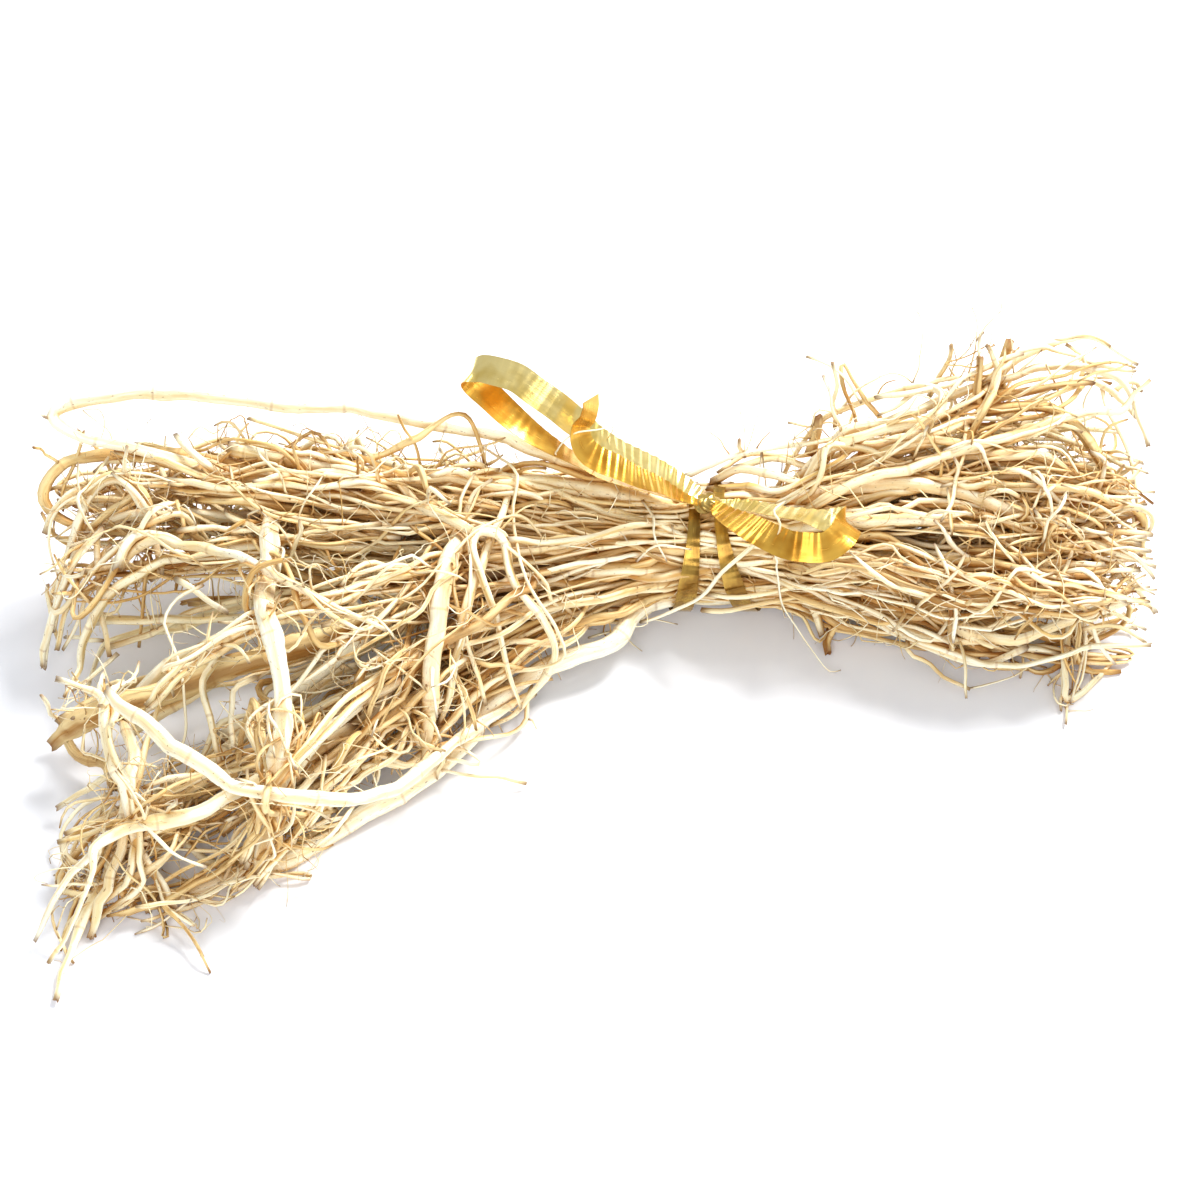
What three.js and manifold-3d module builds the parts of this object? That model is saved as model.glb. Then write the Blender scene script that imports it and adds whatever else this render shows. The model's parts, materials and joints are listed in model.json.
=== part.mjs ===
// Vetiver root: a dried bunch of long wiry roots, lying on its side, tied round the waist with
// two turns of gold curling ribbon that end in a knot, two bow loops and a tail.
// Millimetres, +Z up. The bunch runs along X: the tips fan out into two lobes at the -X end, and
// a shorter, fuller lobe lies at the +X end. The ribbon's turns touch the table at z = 0.

import * as THREE from 'three';
import Module from 'manifold-3d';
import { mergeVertices } from 'three/addons/utils/BufferGeometryUtils.js';

const wasm = await Module();
wasm.setup();

// ---- driving dimensions ----

const GAP = 0.34;                 // clear air kept between any two pieces
const TABLE = 0;                  // height of the surface that the bunch lies on

const WAIST = { y: 3, z: 10.4, radius: 10.3, from: 6, to: 34 };   // room for roots inside the tie
const RIBBON_THICKNESS = 0.4;
const RIBBON_WIDTH = 4.8;         // lies flat in the bow
const TURN_WIDTH = 3.4;           // narrower where it is pulled round the waist
const GATHER = 0.45;              // share of its width that the ribbon keeps at the knot
const GATHER_LENGTH = 9;          // from the knot to where it is flat again
const RIBBON_STEP = 1.8;          // spacing of the rings along a bow strip
const RIBBON_SLANT = 1.5;         // how far each edge of the loose end runs beyond or short of its middle

const INNER_ROOTS = 15;           // roots that run through the middle of the bunch
const INNER_RADIUS = [0.95, 1.3];
const ROOTLET_RADIUS = [0.36, 0.5];
const ROOTLET_LENGTH = [6, 15];
const ROOTLET_REACH = { x: [-92, 91], y: [-80, 28] };   // no rootlet ends beyond the bunch

const RING_STEP = 8;              // spacing of a tube's rings on a straight stretch
const RING_BEND = 0.6;            // radians of bend that also earn a ring
const SETTLE_ROUNDS = 600;
const SETTLED = 0.03;             // lack of room that may stay, as GAP has that much to spare

// The bunch's cross-section at several stations: x, centre y, centre z, half width, half height.
const UPPER_LOBE = [[-91, 0, 14, 15, 12], [-60, 3, 15, 17, 13], [-30, 3, 14, 13, 12],
  [0, 3, 12, 10, 10]];
const LOWER_LOBE = [[-88, -52, 8, 22, 6], [-60, -42, 11, 18, 10], [-30, -22, 12, 12, 10],
  [0, -4, 12, 9, 10]];
const RIGHT_LOBE = [[34, 5, 12, 13, 11], [60, 5, 15, 22, 13], [91, 6, 15, 24, 13]];

// ---- the roots that give the bunch its outline ----
// Each has its thickest radius and the points that it runs through. A branch leaves its root at
// the nearest point and goes on through its own points. The palest and the brownest are named.

const OUTER_ROOTS = [
  {
    name: 'folded_ridge_root', radius: 0.95, finish: 'cream', tip: 0.8,
    route: [[-33, -2, 23], [-50, 1, 27], [-68, 5, 29], [-85, 9, 31], [-91, 12, 33], [-84, 13, 36],
      [-61, 12, 37],
      [-40, 11, 35], [-20, 10, 31], [0, 7, 25], [16, 6, 19], [34, 9, 24], [52, 10, 30]],
    branches: [{ radius: 0.45, route: [[-69, 13, 38], [-71, 10, 33], [-74, 9, 32]] }],
  },
  {
    name: 'hook_root', radius: 1.0, finish: 'brown',
    route: [[-30, 0, 24], [-49, 3, 26], [-63, 6, 28], [-82, 8, 28], [-90, 5, 26], [-92, 1, 22],
      [-86, -1, 20],
      [-66, -1, 17]],
  },
  {
    name: 'arch_root', radius: 0.75,
    route: [[-71, -11, 20], [-74, -3, 27], [-80, 3, 29], [-84, -3, 26], [-88, -9, 18], [-90, -14, 9]],
  },
  {
    name: 'crown_root', radius: 1.35, finish: 'straw',
    route: [[-60, 7, 30], [-35, 3, 28], [-8, 4, 24], [16, 2, 20], [44, -3, 24], [67, -4, 22],
      [86, -2, 16]],
    branches: [
      { radius: 1.1, route: [[-12, 3, 26], [-17, -6, 26], [-21, -18, 24], [-24, -26, 17], [-26, -33, 8]] },
    ],
  },
  {
    name: 'upper_fan_root', radius: 0.8,
    route: [[-61, 5, 29], [-59, -2, 28], [-50, -6, 27], [-33, -5, 25], [0, 1, 22], [16, -1, 19],
      [30, 2, 23],
      [54, 6, 29], [72, 10, 30]],
  },
  {
    name: 'crossing_branch_root', radius: 0.7, finish: 'cream',
    route: [[-78, -12, 22], [-74, -9, 26], [-64, -12, 28], [-50, -22, 30], [-34, -28, 26]],
  },
  {
    name: 'curtain_root', radius: 0.9,
    route: [[-40, 3, 22], [-67, -2, 24], [-79, -2, 24], [-86, -8, 20], [-90, -14, 11], [-92, -17, 4]],
  },
  {
    name: 'curtain_twin_root', radius: 0.9, finish: 'straw',
    route: [[-35, -4, 22], [-55, -8, 24], [-70, -12, 24], [-81, -15, 18], [-85, -19, 9], [-85, -20, 2]],
  },
  {
    name: 'notch_edge_root', radius: 1.1,
    route: [[42, -2, 11], [16, -5, 13], [-16, -8, 17], [-50, -9, 13], [-73, -12, 6], [-89, -10, 2]],
  },
  {
    name: 'front_flow_root', radius: 1.35, finish: 'straw',
    route: [[-73, -40, 19], [-63, -32, 25], [-42, -22, 27], [-15, -11, 24], [16, -3, 18], [41, -7, 21],
      [57, -12, 17]],
  },
  {
    name: 'front_flow_twin_root', radius: 1.2,
    route: [[-62, -44, 14], [-48, -35, 21], [-36, -25, 24], [-15, -15, 22], [16, -4, 16], [39, -10, 15],
      [56, -13, 12]],
  },
  {
    name: 'low_flow_root', radius: 1.2, finish: 'tan',
    route: [[-56, -60, 8], [-51, -56, 20], [-42, -43, 23], [-31, -30, 20], [-11, -16, 17], [16, -5, 13],
      [43, -9, 10], [60, -11, 7]],
  },
  {
    name: 'low_flow_twin_root', radius: 1.0,
    route: [[-55, -60, 3], [-41, -47, 12], [-27, -29, 14], [-3, -12, 12], [16, -4, 10],
      [42, -6, 6], [58, -8, 3]],
  },
  {
    name: 'cross_root', radius: 1.45, finish: 'cream', tip: 0.75,
    route: [[-54, 0, 24], [-53, -14, 29], [-53, -26, 30], [-50, -38, 30], [-48, -49, 26], [-51, -55, 15],
      [-54, -58, 3]],
  },
  {
    name: 'sweep_root', radius: 1.05,
    route: [[-77, -40, 25], [-70, -48, 26], [-58, -56, 24], [-42, -57, 19], [-31, -49, 13], [-20, -31, 7],
      [-12, -22, 3]],
  },
  {
    name: 'strap_root', radius: 1.6, finish: 'cream', tip: 0.85,
    route: [[-20, 2, 21], [-24, -11, 27], [-26, -24, 24], [-27, -32, 17], [-28, -38, 7]],
  },
  {
    name: 'forked_root', radius: 0.85,
    route: [[-40, 8, 28], [-32, 0, 29], [-27, -6, 28], [-15, -10, 26], [-4, -8, 24], [16, -1, 17]],
    branches: [
      { radius: 0.7, route: [[-15, -14, 25], [-9, -21, 20], [-7, -24, 13], [-11, -26, 6], [-18, -28, 2]] },
      { radius: 0.6, route: [[-21, -12, 26], [-18, -19, 23], [-15, -24, 14], [-13, -27, 5]] },
    ],
  },
  {
    name: 'heel_root', radius: 1.2, finish: 'cream',
    route: [[-40, -38, 13], [-55, -50, 14], [-65, -58, 16], [-73, -59, 17], [-81, -64, 12],
      [-88, -71, 2]],
  },
  {
    name: 'post_root', radius: 1.0,
    route: [[-80, -29, 16], [-78, -38, 19], [-77, -45, 20], [-75, -53, 18], [-73, -59, 10],
      [-71, -65, 1]],
  },
  {
    name: 'post_twin_root', radius: 0.95, finish: 'cream',
    route: [[-77, -37, 14], [-74, -43, 16], [-73, -50, 16], [-74, -56, 13], [-77, -63, 7], [-80, -69, 1]],
  },
  {
    name: 'long_tip_root', radius: 1.0,
    route: [[-40, -22, 9], [-57, -34, 8], [-73, -52, 6], [-80, -66, 3], [-84, -81, 1]],
  },
  {
    name: 'stump_root', radius: 1.8, finish: 'brown', butt: 1,
    route: [[-87, -37, 9], [-80, -36, 14], [-66, -30, 15], [-48, -22, 15], [-30, -13, 15],
      [0, -2, 13], [16, -1, 12]],
  },
  {
    name: 'rim_root', radius: 1.4,
    route: [[-69, -62, 1], [-52, -56, 1], [-35, -45, 2], [-16, -26, 5], [5, -12, 8], [17, -5, 8],
      [36, -4, 4]],
  },
  {
    name: 'rim_twin_root', radius: 1.1,
    route: [[-77, -66, 2], [-57, -58, 5], [-40, -45, 8], [-24, -27, 10], [-2, -13, 12],
      [16, -4, 10], [36, -7, 7]],
  },
  {
    name: 'whip_root', radius: 0.8,
    route: [[-4, 8, 20], [16, 7, 18], [31, 9, 28], [48, 9, 33], [57, 12, 35], [54, 18, 34], [42, 16, 30],
      [30, 13, 25]],
  },
  {
    name: 'ray_root', radius: 1.0,
    route: [[-6, 3, 20], [16, 1, 18], [36, 1, 26], [60, 6, 31], [83, 14, 32], [91, 13, 29]],
  },
  {
    name: 'crest_root', radius: 0.7,
    route: [[16, 5, 16], [30, 8, 24], [53, 15, 31], [77, 23, 33], [88, 20, 30], [91, 13, 25]],
  },
  {
    name: 'prop_root', radius: 0.95,
    route: [[58, 14, 27], [73, 16, 31], [82, 9, 27], [88, 3, 18], [91, 1, 10]],
  },
  {
    name: 'stub_root', radius: 0.75, tip: 0.8,
    route: [[38, 9, 23], [56, 11, 29], [65, 17, 33], [68, 24, 38]],
  },
  {
    name: 'crook_root', radius: 0.75, finish: 'straw', tip: 0.8,
    route: [[38, 13, 21], [55, 15, 27], [65, 21, 31], [70, 25, 34], [74, 26.5, 34.5], [75.5, 26, 33],
      [75, 24, 30]],
  },
  {
    name: 'brace_root', radius: 1.1,
    route: [[16, 4, 15], [43, 3, 26], [54, 3, 27], [70, -2, 23], [85, -4, 14], [92, -8, 7]],
  },
  {
    name: 'hem_root', radius: 1.0,
    route: [[-10, -4, 5], [16, -2, 5], [39, -7, 3], [60, -12, 1], [80, -9, 1], [91, -4, 3]],
  },
  {
    name: 'hem_twin_root', radius: 1.1,
    route: [[0, 0, 13], [20, -2, 14], [43, -5, 13], [56, -10, 8], [66, -13, 4], [90, -14, 1]],
  },
  {
    name: 'snag_root', radius: 0.85,
    route: [[8, 1, 11], [22, 0, 11], [36, -3, 14], [52, -5, 14], [57, -1, 19]],
  },
  {
    name: 'fall_root', radius: 0.65,
    route: [[50, 0, 18], [68, -5, 16], [79, -9, 9], [80, -16, 2], [76, -27, 1]],
  },
  {
    name: 'low_ray_root', radius: 0.9,
    route: [[8, 2, 8], [22, 1, 8], [42, -5, 11], [68, -5, 16], [91, 3, 20]],
  },
  {
    name: 'middle_ray_root', radius: 1.05,
    route: [[-8, 1, 14], [16, 0, 14], [40, 4, 22], [65, 5, 26], [91, 4, 23]],
    branches: [{ radius: 0.7, route: [[56, 5, 25], [68, -1, 21], [82, -5, 19], [91, -6, 19]] }],
  },
  {
    name: 'back_ray_root', radius: 1.0,
    route: [[-8, 6, 12], [16, 6, 12], [44, 12, 20], [70, 17, 24], [91, 11, 20]],
    branches: [{ radius: 0.7, route: [[60, 15, 23], [72, 22, 26], [84, 26, 27], [91, 24, 25]] }],
  },
  {
    name: 'arched_twig_root', radius: 0.45, finish: 'brown', tip: 0.8,
    route: [[-46, 4, 27], [-35, 6, 29], [-27, 9, 33], [-22, 11, 35], [-20, 10, 32], [-19, 7, 27]],
  },
];

// ---- small helpers ----

const vec = (p) => new THREE.Vector3(...p);
const mix = THREE.MathUtils.lerp;

function seededRandom(seed) {
  let state = seed >>> 0;
  return () => {
    state = (Math.imul(state, 1664525) + 1013904223) >>> 0;
    return state / 4294967296;
  };
}

const random = seededRandom(2617);
const between = ([low, high]) => mix(low, high, random());

// A curve through the points, cut into steps that are shorter where it bends.
function cutToRings(points) {
  const curve = new THREE.CatmullRomCurve3(points, false, 'centripetal');
  const fine = curve.getSpacedPoints(160);
  const cost = [0];
  for (let i = 1; i < fine.length; i += 1) {
    const step = fine[i].clone().sub(fine[i - 1]);
    const before = i > 1 ? fine[i - 1].clone().sub(fine[i - 2]) : step;
    cost.push(cost[i - 1] + step.length() / RING_STEP + step.angleTo(before) / RING_BEND);
  }
  const total = cost[cost.length - 1];
  const count = Math.max(3, Math.round(total));
  const rings = [];
  let i = 0;
  for (let n = 0; n <= count; n += 1) {
    const wanted = total * n / count;
    while (i < fine.length - 2 && cost[i + 1] < wanted) i += 1;
    const part = Math.min(1, (wanted - cost[i]) / (cost[i + 1] - cost[i]));
    rings.push(fine[i].clone().lerp(fine[i + 1], part));
  }
  return rings;
}

// ---- strands: the centre lines of roots, branches and rootlets ----

function makeStrand(root, route, radius, options = {}) {
  const { butt = 0.8, tip = 0.5, sides = 5, anchor = null, mobility = 1 } = options;
  const points = cutToRings(route);
  const last = points.length - 1;
  const radii = points.map((_, i) => {
    const along = i / last;
    return radius * Math.min(1, mix(butt, 1, along * 4), mix(tip, 1, (1 - along) * 3));
  });
  return { root, points, radii, sides, anchor, mobility };
}

function nearestIndex(strand, target) {
  const reach = strand.points.map((p) => p.distanceTo(target));
  const inner = reach.slice(1, -1);
  return 1 + inner.indexOf(Math.min(...inner));
}

function outerRootStrands(spec, root) {
  const sides = spec.radius > 1.2 ? 6 : 5;
  const main = makeStrand(root, spec.route.map(vec), spec.radius, { ...spec, sides });
  const strands = [main];
  for (const branch of spec.branches ?? []) {
    const points = branch.route.map(vec);
    const index = nearestIndex(main, points[0]);
    const route = [main.points[index].clone(), ...points];
    strands.push(makeStrand(root, route, branch.radius, { butt: 1, anchor: { strand: main, index } }));
  }
  return strands;
}

// A rootlet leaves the root sideways, away from the middle of the bunch, and curls a little.
function rootletStrand(main) {
  const index = 1 + Math.floor(random() * (main.points.length - 2));
  const start = main.points[index];
  const along = main.points[index + 1].clone().sub(start).normalize();
  const outward = new THREE.Vector3(0, start.y - WAIST.y, start.z - WAIST.z + 6).normalize();
  const side = outward.clone().addScaledVector(along, -outward.dot(along)).normalize();
  const length = between(ROOTLET_LENGTH);
  const lean = mix(-0.6, 0.9, random());
  const curl = new THREE.Vector3(random() - 0.5, random() - 0.5, -0.7).multiplyScalar(length * 0.4);
  const middle = start.clone().addScaledVector(side, length * 0.55);
  middle.addScaledVector(along, length * lean * 0.4);
  const end = start.clone().addScaledVector(side, length).addScaledVector(along, length * lean).add(curl);
  end.z = Math.max(end.z, TABLE + 0.6);
  end.x = THREE.MathUtils.clamp(end.x, ...ROOTLET_REACH.x);
  end.y = THREE.MathUtils.clamp(end.y, ...ROOTLET_REACH.y);
  const anchor = { strand: main, index };
  const radius = Math.min(between(ROOTLET_RADIUS), main.radii[index] * 0.7);
  const route = [start.clone(), middle, end];
  return makeStrand(main.root, route, radius, { butt: 1, sides: 4, anchor, mobility: 3 });
}

// ---- the inner roots: spread evenly over the bunch's section, from lobe to lobe ----

function sectionAt(stations, x) {
  const last = stations.length - 1;
  const k = Math.max(1, stations.findIndex((s, i) => i > 0 && (s[0] >= x || i === last)));
  const [a, b] = [stations[k - 1], stations[k]];
  const part = THREE.MathUtils.clamp((x - a[0]) / (b[0] - a[0]), 0, 1);
  return a.map((value, i) => mix(value, b[i], part));
}

function innerRootStrand(root, number) {
  const reach = Math.sqrt((number + 0.5) / INNER_ROOTS);
  const turn = number * Math.PI * (3 - Math.sqrt(5));
  const lobe = number % 3 === 1 ? LOWER_LOBE : UPPER_LOBE;
  const leftEnd = mix(-92, -72, random());
  const rightEnd = mix(76, 91, random());
  const twist = mix(-0.5, 0.5, random());
  const stations = [leftEnd, -62, -38, -14, 8, 18, 28, 44, 62, rightEnd];
  const route = stations.map((x) => {
    const angle = turn + twist * x / 60;
    const inWaist = x > 0 && x < 32;
    const waist = [x, WAIST.y, WAIST.z, WAIST.radius * 0.85, WAIST.radius * 0.85];
    const section = inWaist ? waist : sectionAt(x < 0 ? lobe : RIGHT_LOBE, x);
    const sway = inWaist ? 0 : 3;
    const y = section[1] + section[3] * reach * Math.cos(angle) + sway * (random() - 0.5);
    const z = section[2] + section[4] * reach * Math.sin(angle) + sway * (random() - 0.5);
    return new THREE.Vector3(x, y, Math.max(z, TABLE + 1.5));
  });
  return makeStrand(root, route, between(INNER_RADIUS), { mobility: 2 });
}

// ---- settling: strands are pushed apart until each keeps its gap ----

// Nearest points of segments a-b and c-d, as the fractions along each.
function nearestFractions(a, b, c, d) {
  const u = b.clone().sub(a);
  const v = d.clone().sub(c);
  const w = a.clone().sub(c);
  const uu = u.dot(u);
  const vv = v.dot(v);
  const uv = u.dot(v);
  const uw = u.dot(w);
  const vw = v.dot(w);
  const clamp = (value) => Math.min(1, Math.max(0, value));
  const spread = uu * vv - uv * uv;
  let s = spread > 1e-9 ? clamp((uv * vw - vv * uw) / spread) : 0.5;
  const t = clamp((uv * s + vw) / vv);
  s = clamp((uv * t - uw) / uu);
  return [s, t];
}

function segmentsOf(strands) {
  const segments = [];
  strands.forEach((strand) => {
    for (let i = 0; i < strand.points.length - 1; i += 1) {
      segments.push({ strand, i, a: strand.points[i], b: strand.points[i + 1] });
    }
  });
  return segments;
}

function mayTouch(p, q) {
  if (p.strand === q.strand) return Math.abs(p.i - q.i) < 4;
  if (p.strand.root === q.strand.root) return true;
  return p.strand.mobility === 0 && q.strand.mobility === 0;
}

// Each segment's box, grown by its thickness, and half the gap.
function boxSegment(segment) {
  const { strand, i, a, b } = segment;
  const room = Math.max(strand.radii[i], strand.radii[i + 1]) + GAP / 2;
  segment.low = [Math.min(a.x, b.x) - room, Math.min(a.y, b.y) - room, Math.min(a.z, b.z) - room];
  segment.high = [Math.max(a.x, b.x) + room, Math.max(a.y, b.y) + room, Math.max(a.z, b.z) + room];
}

function boxesMeet(p, q) {
  return p.low[1] < q.high[1] && q.low[1] < p.high[1] && p.low[2] < q.high[2] && q.low[2] < p.high[2];
}

function push(strand, index, amount, direction) {
  strand.shift[index].addScaledVector(direction, amount);
  strand.hits[index] += Math.abs(amount) > 1e-6 ? 1 : 0;
}

function separate(p, q) {
  const [s, t] = nearestFractions(p.a, p.b, q.a, q.b);
  const onP = p.a.clone().lerp(p.b, s);
  const onQ = q.a.clone().lerp(q.b, t);
  const apart = onP.clone().sub(onQ);
  const distance = apart.length();
  const needed = mix(p.strand.radii[p.i], p.strand.radii[p.i + 1], s)
    + mix(q.strand.radii[q.i], q.strand.radii[q.i + 1], t) + GAP;
  if (distance >= needed) return 0;
  const direction = distance > 1e-3 ? apart.divideScalar(distance) : new THREE.Vector3(0, 0, 1);
  const share = p.strand.mobility / (p.strand.mobility + q.strand.mobility);
  const lack = needed - distance;
  push(p.strand, p.i, lack * share * (1 - s) * 1.4, direction);
  push(p.strand, p.i + 1, lack * share * s * 1.4, direction);
  push(q.strand, q.i, -lack * (1 - share) * (1 - t) * 1.4, direction);
  push(q.strand, q.i + 1, -lack * (1 - share) * t * 1.4, direction);
  return lack;
}

// Pushes apart every pair that is too close, and returns the largest lack of room.
function separateAll(segments) {
  segments.forEach(boxSegment);
  segments.sort((p, q) => p.low[0] - q.low[0]);
  let worst = 0;
  for (let m = 0; m < segments.length; m += 1) {
    const p = segments[m];
    for (let n = m + 1; n < segments.length && segments[n].low[0] < p.high[0]; n += 1) {
      const q = segments[n];
      if (boxesMeet(p, q) && !mayTouch(p, q)) worst = Math.max(worst, separate(p, q));
    }
  }
  return worst;
}

function keepInside(point, radius) {
  point.z = Math.max(point.z, TABLE + radius);
  if (point.x < WAIST.from || point.x > WAIST.to) return;
  const y = point.y - WAIST.y;
  const z = point.z - WAIST.z;
  const room = WAIST.radius - radius;
  const distance = Math.hypot(y, z);
  if (distance > room) {
    point.y = WAIST.y + y * room / distance;
    point.z = WAIST.z + z * room / distance;
  }
  point.z = Math.max(point.z, TABLE + RIBBON_THICKNESS + GAP + radius);
}

function moveStrand(strand, smooth) {
  const moves = strand.shift.map((shift, i) => shift.divideScalar(Math.max(1, strand.hits[i] * 0.6)));
  strand.points.forEach((point, i) => {
    const move = moves[i].clone();
    if (smooth) {
      const before = moves[Math.max(0, i - 1)];
      const after = moves[Math.min(moves.length - 1, i + 1)];
      move.multiplyScalar(0.6).addScaledVector(before, 0.2).addScaledVector(after, 0.2);
    }
    point.add(move);
    keepInside(point, strand.radii[i]);
  });
}

function settle(strands) {
  const segments = segmentsOf(strands);
  const movable = strands.filter((strand) => strand.mobility > 0);
  for (let round = 0; round < SETTLE_ROUNDS; round += 1) {
    strands.forEach((strand) => {
      strand.shift = strand.points.map(() => new THREE.Vector3());
      strand.hits = strand.points.map(() => 0);
    });
    const worst = separateAll(segments);
    if (worst < SETTLED) return;
    movable.forEach((strand) => moveStrand(strand, round < SETTLE_ROUNDS / 3));
    movable.filter((strand) => strand.anchor).forEach((strand) => {
      strand.points[0].copy(strand.anchor.strand.points[strand.anchor.index]);
    });
  }
}

// ---- solids ----

// A closed mesh from rings of points, each ring with the same number of corners, and two end caps.
function closedRings(rings, startCap, endCap) {
  const sides = rings[0].length;
  const positions = [...rings.flat(), startCap, endCap].flatMap((p) => p.toArray());
  const indices = [];
  for (let k = 0; k < rings.length - 1; k += 1) {
    for (let i = 0; i < sides; i += 1) {
      const j = (i + 1) % sides;
      const [a, b] = [k * sides + i, k * sides + j];
      indices.push(a, b, b + sides, a, b + sides, a + sides);
    }
  }
  const start = rings.length * sides;
  const lastRing = (rings.length - 1) * sides;
  for (let i = 0; i < sides; i += 1) {
    const j = (i + 1) % sides;
    indices.push(start, j, i, start + 1, lastRing + i, lastRing + j);
  }
  const geometry = new THREE.BufferGeometry();
  geometry.setAttribute('position', new THREE.Float32BufferAttribute(positions, 3));
  geometry.setIndex(indices);
  return geometry;
}

function tangentAt(points, i) {
  const before = points[Math.max(0, i - 1)];
  const after = points[Math.min(points.length - 1, i + 1)];
  return after.clone().sub(before).normalize();
}

function taperedTube({ points, radii, sides }) {
  let normal = new THREE.Vector3(0.13, 0.31, 1).normalize();
  const rings = points.map((point, i) => {
    const tangent = tangentAt(points, i);
    normal = normal.clone().addScaledVector(tangent, -normal.dot(tangent)).normalize();
    const across = tangent.clone().cross(normal);
    return Array.from({ length: sides }, (_, k) => {
      const angle = 2 * Math.PI * k / sides;
      return point.clone()
        .addScaledVector(normal, radii[i] * Math.cos(angle))
        .addScaledVector(across, radii[i] * Math.sin(angle));
    });
  });
  const last = points.length - 1;
  const startCap = points[0].clone().addScaledVector(tangentAt(points, 0), -radii[0] * 0.5);
  const endCap = points[last].clone().addScaledVector(tangentAt(points, last), radii[last] * 0.8);
  return closedRings(rings, startCap, endCap);
}

function solidOf(geometry) {
  const bare = geometry.clone();
  bare.deleteAttribute('normal');
  bare.deleteAttribute('uv');
  const merged = mergeVertices(bare, 1e-4);
  return new wasm.Manifold(new wasm.Mesh({
    numProp: 3,
    vertProperties: new Float32Array(merged.attributes.position.array),
    triVerts: new Uint32Array(merged.index.array),
  }));
}

function geometryOf(solid) {
  const mesh = solid.getMesh();
  const geometry = new THREE.BufferGeometry();
  geometry.setAttribute('position', new THREE.BufferAttribute(mesh.vertProperties, 3));
  geometry.setIndex(new THREE.BufferAttribute(mesh.triVerts, 1));
  geometry.computeVertexNormals();
  return geometry;
}

function rootGeometry(strands) {
  const solids = strands.map((strand) => solidOf(taperedTube(strand)));
  return geometryOf(solids.reduce((whole, solid) => whole.add(solid)));
}

// ---- the ribbon ----

// A flat strip along a curve, with its width's direction at each of the curve's points. It is
// gathered where it meets the knot, and a loose end is cut on the slant.
function ribbonStrip(points, directions, looseEnd = false) {
  const curve = new THREE.CatmullRomCurve3(points.map(vec), false, 'centripetal');
  const length = curve.getLength();
  const count = Math.round(length / RIBBON_STEP);
  const last = directions.length - 1;
  const rings = [];
  for (let i = 0; i <= count; i += 1) {
    const part = i / count;
    const place = curve.getUtoTmapping(part) * last;
    const k = Math.min(last - 1, Math.floor(place));
    const wide = vec(directions[k]).lerp(vec(directions[k + 1]), place - k);
    const tangent = curve.getTangentAt(part);
    const fromKnot = length * (looseEnd ? part : Math.min(part, 1 - part));
    const width = RIBBON_WIDTH * mix(GATHER, 1, THREE.MathUtils.smoothstep(fromKnot, 0, GATHER_LENGTH));
    wide.addScaledVector(tangent, -wide.dot(tangent)).normalize().multiplyScalar(width / 2);
    const thick = tangent.clone().cross(wide).normalize().multiplyScalar(RIBBON_THICKNESS / 2);
    if (looseEnd && i === count) wide.addScaledVector(tangent, RIBBON_SLANT);
    const centre = curve.getPointAt(part);
    rings.push([
      centre.clone().add(wide).add(thick),
      centre.clone().sub(wide).add(thick),
      centre.clone().sub(wide).sub(thick),
      centre.clone().add(wide).sub(thick),
    ]);
  }
  const middle = (ring) => ring[0].clone().add(ring[2]).multiplyScalar(0.5);
  return closedRings(rings, middle(rings[0]), middle(rings[count]));
}

// One turn round the waist: a flat-bottomed band whose middle leans along X toward the table.
function ribbonTurn({ top, bottom }) {
  const inner = WAIST.radius + GAP;
  const outer = inner + RIBBON_THICKNESS;
  const steps = 28;
  const corner = (angle, radius, floor, side) => {
    const y = WAIST.y + radius * Math.sin(angle);
    const z = Math.max(WAIST.z + radius * Math.cos(angle), floor);
    const down = (1 - Math.cos(angle)) / 2;
    return new THREE.Vector3(mix(top, bottom, down) + side * TURN_WIDTH / 2, y, z);
  };
  const rings = Array.from({ length: steps }, (_, k) => {
    const angle = 2 * Math.PI * (k + 0.5) / steps;
    return [
      corner(angle, outer, TABLE, 1),
      corner(angle, outer, TABLE, -1),
      corner(angle, inner, TABLE + RIBBON_THICKNESS, -1),
      corner(angle, inner, TABLE + RIBBON_THICKNESS, 1),
    ];
  });
  const positions = rings.flat().flatMap((p) => p.toArray());
  const indices = [];
  for (let k = 0; k < steps; k += 1) {
    for (let i = 0; i < 4; i += 1) {
      const j = (i + 1) % 4;
      const next = ((k + 1) % steps) * 4;
      indices.push(k * 4 + i, next + j, k * 4 + j, k * 4 + i, next + i, next + j);
    }
  }
  const geometry = new THREE.BufferGeometry();
  geometry.setAttribute('position', new THREE.Float32BufferAttribute(positions, 3));
  geometry.setIndex(indices);
  return geometry;
}

// The knot: a small pinched lump, wider than it is tall.
function ribbonKnot() {
  const knot = new THREE.SphereGeometry(1, 10, 7);
  knot.scale(2.5, 2.1, 1.5);
  return knot;
}

const KNOT_CENTRE = new THREE.Vector3(17.6, 1.0, 23.6);

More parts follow.
